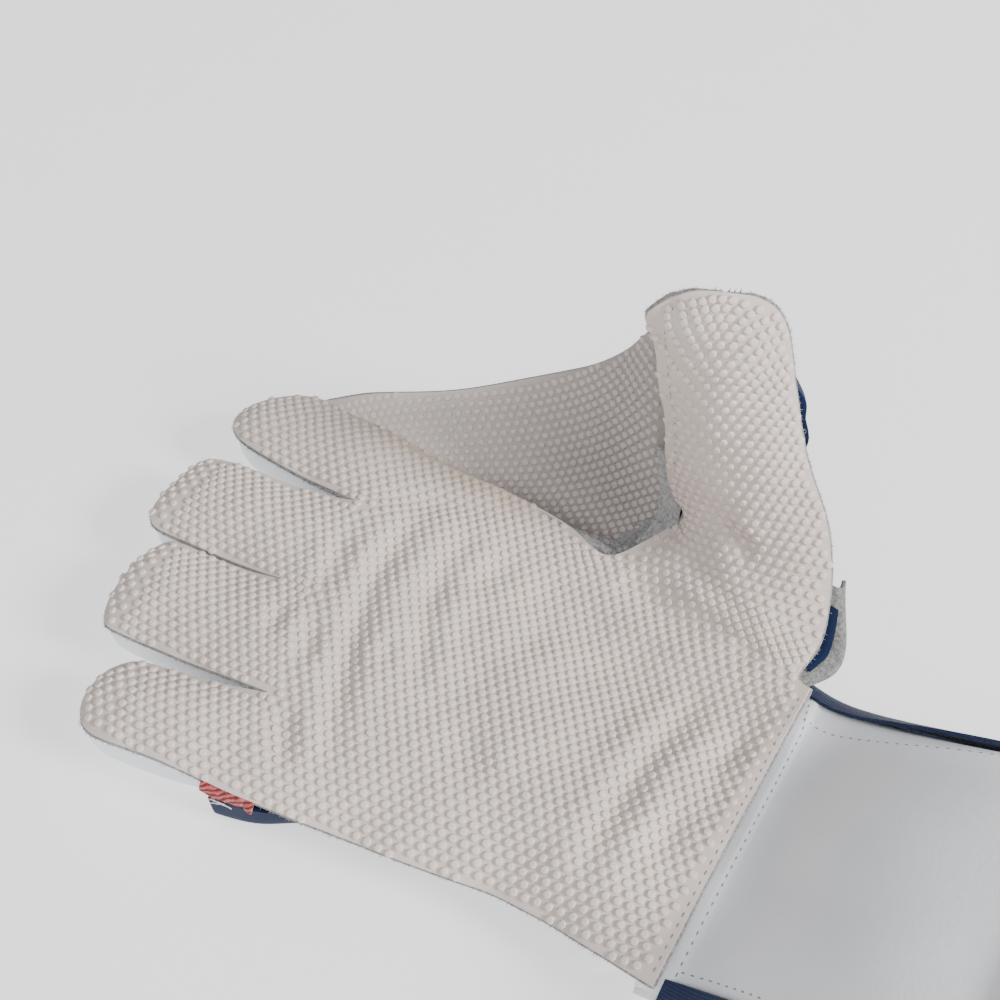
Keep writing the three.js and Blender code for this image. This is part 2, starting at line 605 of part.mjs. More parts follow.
piece('cuff_back', cuffSheet(halfTurn, cuffCells - 1, cuffShares).solid(0, cuffWall), '#c9cfd6', 0.45);
const sideShares = [...cuffShares.slice(1, -2), cuffShares[cuffShares.length - 2] - bindingStop];
piece('cuff_binding_little', cuffSheet(littleBindingCell, littleBindingCell + bindingCells,
  sideShares, bindingOut).solid(0, bindingWall), '#1c2a4a', 0.6);
piece('cuff_binding_thumb', cuffSheet(thumbBindingCell, thumbBindingCell + bindingCells,
  sideShares, bindingOut).solid(0, bindingWall), '#1c2a4a', 0.6);
piece('cuff_mouth_binding', mouthBinding().solid(0, bindingWall), '#1c2a4a', 0.6);

// The part's origin is under the middle of its box, on the surface that the glove rests on.
const bounds = new THREE.Box3().setFromObject(glove);
const middle = bounds.getCenter(vec(0, 0, 0));
for (const mesh of glove.children) mesh.geometry.translate(-middle.x, -middle.y, -bounds.min.z);

export default glove;
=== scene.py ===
import math

import bpy
import numpy as np
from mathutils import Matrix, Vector
from mathutils.bvhtree import BVHTree


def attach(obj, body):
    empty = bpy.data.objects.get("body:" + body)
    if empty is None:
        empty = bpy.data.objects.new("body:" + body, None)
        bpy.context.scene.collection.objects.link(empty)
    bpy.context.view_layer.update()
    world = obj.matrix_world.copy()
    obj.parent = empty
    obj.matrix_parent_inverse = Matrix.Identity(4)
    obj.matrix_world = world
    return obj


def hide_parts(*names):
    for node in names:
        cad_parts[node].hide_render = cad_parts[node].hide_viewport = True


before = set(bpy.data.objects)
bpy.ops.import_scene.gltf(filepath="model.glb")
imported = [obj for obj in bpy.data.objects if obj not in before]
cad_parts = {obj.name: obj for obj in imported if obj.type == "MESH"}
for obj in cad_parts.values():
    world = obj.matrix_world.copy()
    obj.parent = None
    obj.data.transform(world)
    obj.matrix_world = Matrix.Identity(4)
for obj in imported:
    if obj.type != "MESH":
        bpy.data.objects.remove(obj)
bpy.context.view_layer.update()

# The palm face: one sheet of pimpled rubber on grey fleece, cut in one with the four fingers and the
# thumb. It lies flat over the hand, splits between the fingers, and turns upright into the thumb.
# It is drawn in millimetres from the middle of the wrist seam.
SEAM = np.array([-12.5714, -64.0761, -0.6])
WRIST_WIDTH, KNUCKLE_WIDTH = 99, 133
PALM_LENGTH, PALM_HEIGHT = 150, 30
FINGER_LENGTH, FINGER_CROWN = 72, 6
SEAM_SLANT = 12
THUMB_HEIGHT, THUMB_WIDTH, THUMB_DEPTH, THUMB_REACH = 138, 58, 28, 82
RUBBER, LEATHER, SUEDE, GAP = 2, 2.2, 1.4, 0.4
REST = 0.6
UNDER = RUBBER + GAP
TIP_POWER = 2.3
THUMB_TIP_START, THUMB_TIP_POWER = 0.8, 2.6
ROOT_BLEND = 0.45
THUMB_ROWS, TIP_ROWS = 13, 5
PALM_ROWS, FIRST_ROW = 15, 0.05
THUMB_FIRST, THUMB_LAST = 1, 8
CELLS_PER_FINGER = 4
LITTLE_ALONG = 0.835
# across and along place the slit on a finger's thumb side, reach and tip are its length and tip width.
FINGERS = [
    dict(name="little", across=0.218, along=0.873, reach=0.8, tip=0.21, splay=17, slant=0, round=0.76),
    dict(name="ring", across=0.481, along=0.987, reach=0.95, tip=0.288, splay=10.8, slant=0, round=0.86),
    dict(name="middle", across=0.752, along=1.067, reach=0.985, tip=0.265, splay=10.2, slant=0, round=0.86),
    dict(name="index", across=1, along=1, reach=1.02, tip=0.25, splay=1.5, slant=9, round=0.7),
]
PALM = dict(
    along=[0, 0.2, 0.38, 0.58, 0.8, 1],
    little=[-0.06, 0, 0.16, 0.62, 1.12, 1.55],
    thumb=[0.1, 0.2, 0.5, 0.75, 0.72, 0.45],
)
PALM_HEIGHTS = {
    0: [0.76, 0.64, 0.58, 0.58, 0.62, 0.66],
    0.08: [0.86, 0.84, 0.82, 0.82, 0.86, 0.9],
    0.25: [0.94, 1.02, 1.04, 1.02, 1.03, 1.03],
    0.5: [0.98, 1, 0.97, 0.96, 1, 1.03],
    0.75: [0.96, 0.82, 0.76, 0.8, 0.92, 1],
    1: [1.06, 0.98, 0.9, 0.84, 0.84, 0.86],
}
THUMB = dict(
    out=[0.72, 0.87, 0.98, 1.015, 1.01, 0.985, 0.955, 0.93, 0.92],
    along=[0.3, 0.3, 0.33, 0.36, 0.395, 0.42, 0.44, 0.45, 0.455],
    up=[0.2, 0.245, 0.31, 0.42, 0.54, 0.665, 0.79, 0.91, 1],
    width=[1.2, 1.12, 1.03, 0.97, 0.79, 0.71, 0.67, 0.64, 0.6],
    bulge=[0, 0.2, 0.3, 0.34, 0.33, 0.32, 0.28, 0.2, 0.1],
    depth=[0.96, 1.1, 1.12, 0.98, 0.9, 0.82, 0.74, 0.4, 0.15],
    yaw=[-9, -7, 1, 6, 13, 20, 25, 29, 31],
    pitch=[90, 62, 34, 12, 4, 2, 3, 14, 40],
    taper=[1, 1, 1.15, 1.4, 1.45, 1.4, 1.3, 1.2, 1.1],
)


def vec(*xyz):
    return np.array(xyz, float)


def lerp(a, b, t):
    return a + (b - a) * t


def ease(t):
    t = min(1, max(0, t))
    return t * t * (3 - 2 * t)


def curve(at, values):
    """A smooth curve through values at the given places."""
    at, values = np.asarray(at, float), np.asarray(values, float)
    before = np.maximum(np.arange(len(at)) - 1, 0)
    after = np.minimum(np.arange(len(at)) + 1, len(at) - 1)
    slope = (values[after] - values[before]) / (at[after] - at[before])

    def value(t):
        i = min(len(at) - 1, max(1, int(np.searchsorted(at, t))))
        h = at[i] - at[i - 1]
        s = min(1, max(0, (t - at[i - 1]) / h))
        return (
            (2 * s**3 - 3 * s**2 + 1) * values[i - 1]
            + (s**3 - 2 * s**2 + s) * h * slope[i - 1]
            + (3 * s**2 - 2 * s**3) * values[i]
            + (s**3 - s**2) * h * slope[i]
        )

    return value


root_ends = [LITTLE_ALONG] + [f["along"] for f in FINGERS]
root_line = curve([0] + [f["across"] for f in FINGERS], [along * PALM_LENGTH for along in root_ends])
widen = {side: curve(PALM["along"], PALM[side]) for side in ("little", "thumb")}
heights = {at: curve(PALM["along"], values) for at, values in PALM_HEIGHTS.items()}


def seam_line(u):
    return SEAM_SLANT * (u - 1 / 3)


def side_out(side, s):
    return WRIST_WIDTH / 2 + widen[side](s) * (KNUCKLE_WIDTH - WRIST_WIDTH) / 2


def palm_point(u, s):
    x = lerp(-side_out("little", s), side_out("thumb", s), u)
    y = lerp(seam_line(u), root_line(u), s)
    z = PALM_HEIGHT * curve(list(heights), [h(s) for h in heights.values()])(u)
    return vec(x, y, z)


def rounded(t, start, power):
    return 1 if t <= start else max(0, 1 - ((t - start) / (1 - start)) ** power) ** (1 / power)


def tip_shares(rows, start, tip_rows):
    body = [start * k / (rows - tip_rows) for k in range(rows - tip_rows + 1)]
    return body + [lerp(start, 1, math.sin(math.pi / 2 * (k + 1) / tip_rows)) for k in range(tip_rows)]


def finger_point(number, w, t, inset=0):
    """A finger's face at a share t of its length, from w = -1 on the little finger's side to w = 1."""
    f = FINGERS[number]
    u0 = FINGERS[number - 1]["across"] if number else 0
    left, right = palm_point(u0, 1), palm_point(f["across"], 1)
    splay = math.radians(f["splay"])
    axis = vec(-math.sin(splay), math.cos(splay), 0)
    across = vec(axis[1], -axis[0], 0)
    tip = (left + right) / 2 + axis * f["reach"] * FINGER_LENGTH
    half = f["tip"] * KNUCKLE_WIDTH / 2
    skew = axis * f["slant"] / 2
    a, b = lerp(left, tip - across * half + skew, t), lerp(right, tip + across * half - skew, t)
    narrow = rounded(t, f["round"], TIP_POWER)
    shrink = max(0, narrow * (1 - 2 * inset / np.linalg.norm(a - b)))
    root = palm_point(lerp(u0, f["across"], (w + 1) / 2), 1)
    fade = 1 - ease(t / ROOT_BLEND)
    p = (a + b) / 2 + (b - a) * w * shrink / 2 + (root - lerp(left, right, (w + 1) / 2)) * fade
    dome = FINGER_CROWN * (1 - narrow**2 * (1 - w * w))
    p[2] = lerp(1.03 * PALM_HEIGHT - dome - 3 * t**3, root[2], fade)
    return p


thumb_at = {name: curve(np.linspace(0, 1, 9), values) for name, values in THUMB.items()}


def thumb_frame(t):
    """The thumb's section at a share t of its length.

    It gives the middle of its chord, across, out of its face, half its width, bulge and depth."""
    yaw, pitch = math.radians(thumb_at["yaw"](t)), math.radians(thumb_at["pitch"](t))
    out, along, up = (thumb_at[name](t) for name in ("out", "along", "up"))
    middle = vec(out * THUMB_REACH, along * PALM_LENGTH, up * THUMB_HEIGHT)
    across = vec(-math.sin(yaw), math.cos(yaw), 0)
    face = vec(-math.cos(yaw) * math.cos(pitch), -math.sin(yaw) * math.cos(pitch), math.sin(pitch))
    r = rounded(t, THUMB_TIP_START, THUMB_TIP_POWER)
    half = r * thumb_at["width"](t) * THUMB_WIDTH / 2
    bulge, depth = (r * thumb_at[name](t) * THUMB_DEPTH for name in ("bulge", "depth"))
    return middle, across, face, half, bulge, depth


def row_share(j):
    return lerp(FIRST_ROW, 1, (j - 1) / (PALM_ROWS - 1)) if j else 0


class Sheet:
    """An open surface of points and four-sided cells. Each point also has its place in the flat pattern."""

    def __init__(self):
        self.points, self.flats, self.cells, self.index = [], [], [], {}

    def add(self, point, flat):
        key = tuple(np.round(point * 1e4).astype(int))
        if key not in self.index:
            self.index[key] = len(self.points)
            self.points.append(np.array(point, float))
            self.flats.append((float(flat[0]), float(flat[1])))
        return self.index[key]

    def grid(self, points, flats=None):
        """points[i][j]; the face looks along i's direction times j's."""
        ids = []
        for i, line in enumerate(points):
            ids.append([self.add(p, flats[i][j] if flats else (i, j)) for j, p in enumerate(line)])
        for i in range(len(ids) - 1):
            for j in range(len(ids[i]) - 1):
                cell = list(dict.fromkeys([ids[i][j], ids[i + 1][j], ids[i + 1][j + 1], ids[i][j + 1]]))
                if len(cell) > 2:
                    self.cells.append(cell)
        return self

    def relax(self, times):
        """Rounds off kinks away from the edges."""
        near, uses = [set() for _ in self.points], {}
        for cell in self.cells:
            for a, b in zip(cell, cell[1:] + cell[:1]):
                near[a].add(b)
                near[b].add(a)
                uses[frozenset((a, b))] = uses.get(frozenset((a, b)), 0) + 1
        rim = {k for edge, n in uses.items() if n == 1 for k in edge}
        for _ in range(times):
            before = list(self.points)
            for k, p in enumerate(before):
                if k not in rim:
                    self.points[k] = (p + np.mean([before[n] for n in near[k]], axis=0)) / 2
        return self

    def smooth(self, levels):
        """The same surface, subdivided: points, cells, normals and flat places."""
        mesh = bpy.data.meshes.new("cage")
        mesh.from_pydata([tuple(p) for p in self.points], [], self.cells)
        flat = mesh.attributes.new("flat", "FLOAT_VECTOR", "POINT")
        flat.data.foreach_set("vector", np.array([(x, y, 0) for x, y in self.flats], np.float32).ravel())
        cage = bpy.data.objects.new("cage", mesh)
        bpy.context.scene.collection.objects.link(cage)
        finer = cage.modifiers.new("finer", "SUBSURF")
        finer.levels = levels
        finer.boundary_smooth = "PRESERVE_CORNERS"
        done = cage.evaluated_get(bpy.context.evaluated_depsgraph_get()).to_mesh()
        points, flats = np.empty(len(done.vertices) * 3), np.empty(len(done.vertices) * 3)
        done.vertices.foreach_get("co", points)
        done.attributes["flat"].data.foreach_get("vector", flats)
        cells = np.empty(len(done.loops), int)
        done.loops.foreach_get("vertex_index", cells)
        bpy.data.objects.remove(cage)
        bpy.data.meshes.remove(mesh)
        return Surface(points.reshape(-1, 3), cells.reshape(-1, 4), flats.reshape(-1, 3)[:, :2])


class Surface:
    """A fine surface as arrays of points, four-sided cells and flat places."""

    def __init__(self, points, cells, flats):
        self.points, self.cells, self.flats = points, cells, flats
        self.update()

    def update(self):
        p = self.points[self.cells]
        face = np.cross(p[:, 2] - p[:, 0], p[:, 3] - p[:, 1])
        total = np.zeros_like(self.points)
        for k in range(4):
            np.add.at(total, self.cells[:, k], face)
        self.normals = total / np.maximum(np.linalg.norm(total, axis=1, keepdims=True), 1e-9)

    def lift(self, heights):
        self.points = self.points + self.normals * np.asarray(heights)[:, None]
        self.update()
        return self

    def pull(self, centre, by, radius):
        """Draws the cloth near a point the given way."""
        gap = np.sum((self.points - centre) ** 2, axis=1)
        self.points = self.points + np.exp(-gap / radius**2)[:, None] * by
        self.update()
        return self

    def rim(self):
        """The directed edges of the boundary."""
        a = self.cells.ravel()
        b = np.roll(self.cells, -1, axis=1).ravel()
        count = len(self.points)
        forward, back = a * count + b, b * count + a
        return np.stack([a, b], 1)[~np.isin(forward, back)]


def build(name, points, faces, materials, slots=None, flats=None, sharp=None):
    """A mesh object in the part's frame, from points in millimetres."""
    mesh = bpy.data.meshes.new(name)
    spots = [tuple(p) for p in (np.asarray(points) + SEAM) * 0.001]
    mesh.from_pydata(spots, [], [tuple(int(k) for k in f) for f in faces])
    for material in materials:
        mesh.materials.append(material)
    if slots is not None:
        mesh.polygons.foreach_set("material_index", np.asarray(slots, np.int32))
    if flats is not None:
        layer = mesh.uv_layers.new(name="flat")
        loops = np.empty(len(mesh.loops), np.int32)
        mesh.loops.foreach_get("vertex_index", loops)
        layer.data.foreach_set("uv", (np.asarray(flats)[loops] * 0.001).astype(np.float32).ravel())
    mesh.polygons.foreach_set("use_smooth", np.ones(len(mesh.polygons), bool))
    mesh.update()
    if sharp:
        mesh.set_sharp_from_angle(angle=math.radians(sharp))
    piece = bpy.data.objects.new(name, mesh)
    bpy.context.scene.collection.objects.link(piece)
    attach(piece, "root")
    return piece


def thicken(name, surface, lower, upper, materials, layers=3, edge=0.35, lip=0, wall_slot=1, sharp=50):
    """A closed piece between two offsets from a surface, with a slightly rounded edge.

    The upper face takes the first material."""
    rim = surface.rim()
    count = len(surface.points)
    low = surface.points + surface.normals * lower
    high = surface.points + surface.normals * upper
    where = {k: n for n, k in enumerate(dict.fromkeys(rim.ravel()))}
    ring = np.array(list(where))
    towards = np.zeros((count, 3))
    a, b = rim[:, 0], rim[:, 1]
    out = np.cross(surface.points[b] - surface.points[a], surface.normals[a])
    out /= np.maximum(np.linalg.norm(out, axis=1, keepdims=True), 1e-9)
    np.add.at(towards, a, out)
    np.add.at(towards, b, out)
    towards /= np.maximum(np.linalg.norm(towards, axis=1, keepdims=True), 1e-9)
    points = [high, low]
    for k in range(1, layers):
        share = k / layers
        offset = lerp(lower, upper, share)
        swell = edge * math.sin(math.pi * share) + lip * (share < 0.7)
        points.append(surface.points[ring] + surface.normals[ring] * offset + towards[ring] * swell)
    faces = [c for c in surface.cells] + [c[::-1] + count for c in surface.cells]
    slots = [0] * len(surface.cells) + [wall_slot] * len(surface.cells)
    base = lambda k: 2 * count + (k - 1) * len(ring)
    for i, j in rim:
        for k in range(layers):
            p0 = i + count if k == 0 else base(k) + where[i]
            p1 = j + count if k == 0 else base(k) + where[j]
            q0 = i if k == layers - 1 else base(k + 1) + where[i]
            q1 = j if k == layers - 1 else base(k + 1) + where[j]
            faces.append((p0, p1, q1, q0))
            slots.append(wall_slot if k < layers - 1 else 0)
    flats = np.concatenate([surface.flats, surface.flats] + [surface.flats[ring]] * (layers - 1))
    return build(name, np.concatenate(points), faces, materials, slots, flats, sharp)


class Value:
    """A shader socket, so that shader maths reads as Python."""

    def __init__(self, tree, socket):
        self.tree, self.socket = tree, socket

    def maths(self, operation, *operands):
        node = self.tree.nodes.new("ShaderNodeMath")
        node.operation = operation
        for slot, operand in zip(node.inputs, operands):
            if isinstance(operand, Value):
                self.tree.links.new(operand.socket, slot)
            else:
                slot.default_value = operand
        return Value(self.tree, node.outputs[0])

    def __add__(self, other):
        return self.maths("ADD", self, other)

    def __sub__(self, other):
        return self.maths("SUBTRACT", self, other)

    def __rsub__(self, other):
        return self.maths("SUBTRACT", other, self)

    def __mul__(self, other):
        return self.maths("MULTIPLY", self, other)

    def over(self, low, high):
        """0 below low, 1 above high, and smooth between them."""
        node = self.tree.nodes.new("ShaderNodeMapRange")
        node.interpolation_type = "SMOOTHSTEP"
        self.tree.links.new(self.socket, node.inputs["Value"])
        node.inputs["From Min"].default_value, node.inputs["From Max"].default_value = low, high
        return Value(self.tree, node.outputs["Result"])


class Finish:
    """A material under construction: its nodes are made with node(), and colours mixed with mix()."""

    def __init__(self, name, **sockets):
        self.material = bpy.data.materials.new(name)
        self.material.use_nodes = True
        self.tree = self.material.node_tree
        self.shader = self.tree.nodes["Principled BSDF"]
        for socket, value in sockets.items():
            self.shader.inputs[socket.replace("_", " ")].default_value = value
        self.place = self.node("ShaderNodeTexCoord", out="Object")

    def node(self, kind, settings=None, out=0, **sockets):
        node = self.tree.nodes.new(kind)
        for key, value in (settings or {}).items():
            setattr(node, key, value)
        for key, value in sockets.items():
            slot = node.inputs[key.replace("_", " ")]
            if isinstance(value, Value):
                self.tree.links.new(value.socket, slot)
            else:
                slot.default_value = value
        return Value(self.tree, node.outputs[out])

    def noise(self, scale, detail=2, roughness=0.5):
        sockets = dict(Vector=self.place, Scale=scale, Detail=detail, Roughness=roughness)
        return self.node("ShaderNodeTexNoise", **sockets)

    def cells(self, scale, **settings):
        return self.node("ShaderNodeTexVoronoi", settings, Vector=self.place, Scale=scale)

    def mix(self, factor, a, b):
        node = self.tree.nodes.new("ShaderNodeMix")
        node.data_type = "RGBA"
        for slot, value in ((node.inputs[0], factor), (node.inputs[6], a), (node.inputs[7], b)):
            if isinstance(value, Value):
                self.tree.links.new(value.socket, slot)
            elif isinstance(value, tuple):
                slot.default_value = (*value, 1)
            else:
                slot.default_value = value
        return Value(self.tree, node.outputs[2])

    def parts(self, vector):
        node = self.tree.nodes.new("ShaderNodeSeparateXYZ")
        self.tree.links.new(vector.socket, node.inputs[0])
        return [Value(self.tree, out) for out in node.outputs]

    def finish(self, colour, roughness, height, depth=0.001, strength=1.0):
        self.tree.links.new(colour.socket, self.shader.inputs["Base Color"])
        self.tree.links.new(roughness.socket, self.shader.inputs["Roughness"])
        bump = self.node("ShaderNodeBump", out="Normal", Height=height, Distance=depth, Strength=strength)
        self.tree.links.new(bump.socket, self.shader.inputs["Normal"])
        return self.material


STAIN_PLACE, STAIN_WIDTH = 0.0445, 0.009


def rubber_finish(name, pale, warm, shade, stain=0, painted_crotch_shade=0):
    """Matte moulded rubber, a little uneven in colour and dusty.

    stain yellows it where the web is glued to the index finger, and a painted shade darkens it towards the wrist,
    for the shadow deep in the web's crotch."""
    m = Finish(name, IOR=1.45, Specular_IOR_Level=0.28)
    clouds = m.noise(38, 4)
    patches = m.noise(14, 3)
    specks = m.noise(1400, 2)
    colour = m.mix(clouds.over(0.35, 0.7), pale, warm)
    colour = m.mix(patches.over(0.5, 0.8) * 0.2, colour, shade)
    colour = m.mix(specks.over(0.55, 0.8) * 0.22, colour, (0.38, 0.33, 0.31))
    x, y, _ = m.parts(m.place)
    # Painted shade: darker towards the wrist, where the web's crotch lies in the thumb's shadow.
    if painted_crotch_shade:
        colour = m.mix((1 - y.over(0.035, 0.125)) * painted_crotch_shade, colour, (0.27, 0.235, 0.23))
    if stain:
        from_join = x - STAIN_PLACE
        beside = 1 - from_join.maths("ABSOLUTE", from_join).over(0, STAIN_WIDTH)
        ends = y.over(0.045, 0.065) * (1 - y.over(0.11, 0.13))
        colour = m.mix(beside * ends * patches.over(0.3, 0.6) * stain, colour, (0.6, 0.47, 0.32))
    return m.finish(colour, clouds * 0.12 + 0.66, specks * 0.6 + clouds * 0.4, 0.0002, 0.6)


def felt_finish(name, light, dark):
    """Grey fleece or suede: short matted fibres, speckled light and dark."""
    m = Finish(name, Specular_IOR_Level=0.15, Sheen_Weight=0.25)
    tufts = m.noise(900, 5, roughness=0.7)
    specks = m.noise(2600, 3)
    clouds = m.noise(120, 3)
    colour = m.mix(tufts.over(0.38, 0.62), dark, light)
    colour = m.mix(specks.over(0.6, 0.72) * 0.6, colour, tuple(0.35 * c for c in dark))
    colour = m.mix(clouds.over(0.45, 0.8) * 0.3, colour, light)
    return m.finish(colour, clouds * 0.1 + 0.86, tufts + specks * 0.5, 0.0006, 0.9)


pale, warm, shade = (0.7, 0.62, 0.57), (0.73, 0.655, 0.595), (0.63, 0.575, 0.53)
rubber = rubber_finish("pimple_rubber", pale, warm, shade, stain=0.3)
# The sheet between the studs is painted darker than the studs: painted shade between the studs.
pale, warm, shade = (0.62, 0.535, 0.49), (0.67, 0.585, 0.525), (0.56, 0.49, 0.45)
shade_painted_ground = rubber_finish("ground_rubber_painted_shade", pale, warm, shade, stain=0.55)
fleece = felt_finish("grey_fleece", (0.42, 0.41, 0.4), (0.2, 0.2, 0.2))


def palm_sheet():
    sheet = Sheet()
    edges = [0] + [f["across"] for f in FINGERS]
    columns = [0]
    for left, right in zip(edges, edges[1:]):
        columns += [lerp(left, right, (k + 1) / CELLS_PER_FINGER) for k in range(CELLS_PER_FINGER)]

    def lay(lines):
        sheet.grid(lines, [[p[:2] for p in line] for line in lines])

    lay([[palm_point(u, row_share(j)) for j in range(PALM_ROWS + 1)] for u in columns])
    for n, f in enumerate(FINGERS):
        shares = tip_shares(8, f["round"], 4)
        ws = [2 * i / CELLS_PER_FINGER - 1 for i in range(CELLS_PER_FINGER + 1)]
        lay([[finger_point(n, w, t) for t in shares] for w in ws])
    across = THUMB_LAST - THUMB_FIRST
    lines, flats, run, last = [], [], 0, None
    for k, t in enumerate(tip_shares(THUMB_ROWS, THUMB_TIP_START, TIP_ROWS)):
        middle, side, face, half, bulge, _ = thumb_frame(t)
        centre = middle + face * bulge
        run += 0 if last is None else np.linalg.norm(centre - last)
        last = centre
        if k == 0:
            lines.append([palm_point(1, row_share(THUMB_FIRST + j)) for j in range(across + 1)])
            flats.append([p[:2] for p in lines[0]])
            start = np.mean(flats[0], axis=0)
            continue
        ws = [2 * j / across - 1 for j in range(across + 1)]
        lines.append([middle + side * w * half + face * bulge * (1 - abs(w) ** 2.2) for w in ws])
        flats.append([(start[0] + run, start[1] + w * half) for w in ws])
    sheet.grid(lines, flats)
    return sheet.relax(2).smooth(3)


# Soft folds where the hand closes: a line of places in the flat pattern, a depth and a half width each.
FOLDS = [
    ([(39, 142), (25, 143), (4, 138), (-11, 131), (-27, 122), (-42, 113), (-52, 104)], 2.4, 4),
    ([(39, 125), (22, 124), (5, 117), (-9, 108), (-21, 100)], 2.08, 4),
    ([(-21, 153), (-33, 148)], 1.76, 3),
    ([(-20, 140), (-34, 132)], 1.76, 3),
    ([(-49, 126), (-62, 115)], 1.76, 3.5),
    ([(-12, 119), (-20, 112)], 1.28, 3),
    ([(12, 156), (-8, 146)], 1.76, 3.5),
    ([(30, 156), (44, 140), (48, 126)], 1.44, 4),
    ([(54, 78), (52, 52), (52, 26)], 3.68, 5),
    ([(66, 66), (63, 48), (60, 32)], 1.6, 4),
    ([(86, 52), (80, 42)], 2.88, 4),
    ([(34, 33), (5, 33), (-16, 31), (-39, 27)], 2.4, 4),
    ([(44, 8), (10, 5), (-30, 0)], -1.6, 4),
    ([(-3, 16), (-22, 14)], 1.44, 3.5),
    ([(28, 15), (10, 17)], 1.44, 3.5),
    ([(33, 87), (10, 86)], 0.96, 5),
    ([(42, 110), (18, 112)], 1.28, 5),
    ([(-20, 84), (-34, 66)], 0.8, 5),
]


FOLD_DEPTH = 0.72
# A seam runs up the thumb beside its inner edge, and the rubber sinks along it.
SEAM_START, SEAM_END, SEAM_PLACE = 0.2, 0.93, 0.85
GROOVE_DEPTH, GROOVE_WIDTH = 0.9, 1.3


def fold_heights(flats, folds):
    """How far each flat place sinks, with a slight swell on both sides of each fold."""
    height = np.zeros(len(flats))
    for line, depth, width in folds:
        marks = np.linspace(0, 1, len(line))
        along = np.linspace(0, 1, 10 * len(line))
        spots = np.stack([[curve(marks, [q[k] for q in line])(t) for t in along] for k in (0, 1)], 1)
        gaps = np.linalg.norm(flats[:, None] - spots[None], axis=2)
        nearest = gaps.argmin(1)
        fade = np.sin(math.pi * along[nearest]) ** 0.5
        r = gaps.min(1) / width
        height += depth * fade * (0.45 * np.exp(-((r - 2) ** 2)) - np.exp(-r * r))
    return height


def waves(flats, seed, pitch, size):
    """Slow irregular undulation."""
    rng = np.random.default_rng(seed)
    height = np.zeros(len(flats))
    for _ in range(14):
        direction, phase = rng.uniform(0, 2 * math.pi, 2)
        length = pitch * rng.uniform(0.6, 1.8)
        height += np.sin((flats @ [math.cos(direction), math.sin(direction)]) * 2 * math.pi / length + phase)
    return height * size / 14**0.5


palm = palm_sheet()
palm.pull(palm_point(1, row_share(9)), vec(-3.9, -2.4, 0), 8)
notch = thumb_frame(0.13)
palm.pull(notch[0] + notch[1] * notch[3], vec(5.6, -5.1, 0), 8.5)
unevenness = waves(palm.flats, 3, 30, 0.4) + waves(palm.flats, 4, 11, 0.14)
palm.lift(FOLD_DEPTH * fold_heights(palm.flats, FOLDS) + unevenness)
thumb_seam = []
for t in np.linspace(SEAM_START, SEAM_END, 80):
    middle, across, face, half, bulge, _ = thumb_frame(t)
    thumb_seam.append(middle + across * SEAM_PLACE * half + face * bulge * 0.3)
seam_spots = np.array(thumb_seam)
seam_gap = np.array([np.min(np.sum((seam_spots - q) ** 2, axis=1)) for q in palm.points]) ** 0.5
palm.lift(-GROOVE_DEPTH * np.exp(-((seam_gap / GROOVE_WIDTH) ** 2)))
lobe = thumb_frame(0.86)
palm.pull(lobe[0] + lobe[1] * lobe[3], lobe[1] * 3.2 + vec(0, 0, 0.8), 7)
layers = [shade_painted_ground, fleece]
palm_facing = thicken("palm_facing_rubber", palm, -RUBBER, 0, layers, layers=4, edge=0.2, lip=0.6)
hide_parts("palm_facing")

# The fleece frays along the cut edges: short loose fibres stick out from under the rubber.


def fringe(name, surface, material, seed, per_edge, length, wrist=-1e9):
    rng = np.random.default_rng(seed)
    rim = surface.rim()
    rim = np.repeat(rim[surface.flats[rim[:, 0], 1] > wrist], per_edge, axis=0)
    a, b = rim[:, 0], rim[:, 1]
    share = rng.random(len(a))[:, None]
    root = lerp(surface.points[a], surface.points[b], share)
    normal = lerp(surface.normals[a], surface.normals[b], share)
    along = surface.points[b] - surface.points[a]
    out = np.cross(along, normal)
    out /= np.maximum(np.linalg.norm(out, axis=1, keepdims=True), 1e-9)
    along /= np.maximum(np.linalg.norm(along, axis=1, keepdims=True), 1e-9)
    count = len(a)
    root = root - normal * rng.uniform(0.5, 1.9, (count, 1))
    lean = out + along * rng.normal(0, 0.7, (count, 1)) + normal * rng.normal(0.1, 0.45, (count, 1))
    lean /= np.linalg.norm(lean, axis=1, keepdims=True)
    reach = length * rng.uniform(0.4, 1.3, (count, 1))
    side = np.cross(lean, normal)
    other = np.cross(lean, side)
    points = []
    for travel, thick in ((0, 0.1), (0.6, 0.08)):
        bend = normal * (travel**2 * reach * rng.normal(0, 0.3, (count, 1)))
        for k in range(3):
            angle = 2 * math.pi * k / 3
            round_it = (side * math.cos(angle) + other * math.sin(angle)) * thick
            points.append(root + lean * reach * travel + bend + round_it)
    points.append(root + lean * reach)
    shape = [(0, 1, 4, 3), (1, 2, 5, 4), (2, 0, 3, 5), (3, 4, 6), (4, 5, 6), (5, 3, 6)]
    faces = [tuple(base + q for q in f) for base in range(0, 7 * count, 7) for f in shape]
    return build(name, np.stack(points, 1).reshape(-1, 3), faces, [material])


palm_fringe = fringe("palm_fringe", palm, fleece, 8, 5, 1.5, wrist=10)

# The pimples: low round studs moulded in one with the rubber, in staggered rows that run up the
# fingers and across the thumb.
PITCH, STUD_RADIUS, STUD_HEIGHT = 3.75, 1.24, 0.78
WRIST_CLEAR = 2.9


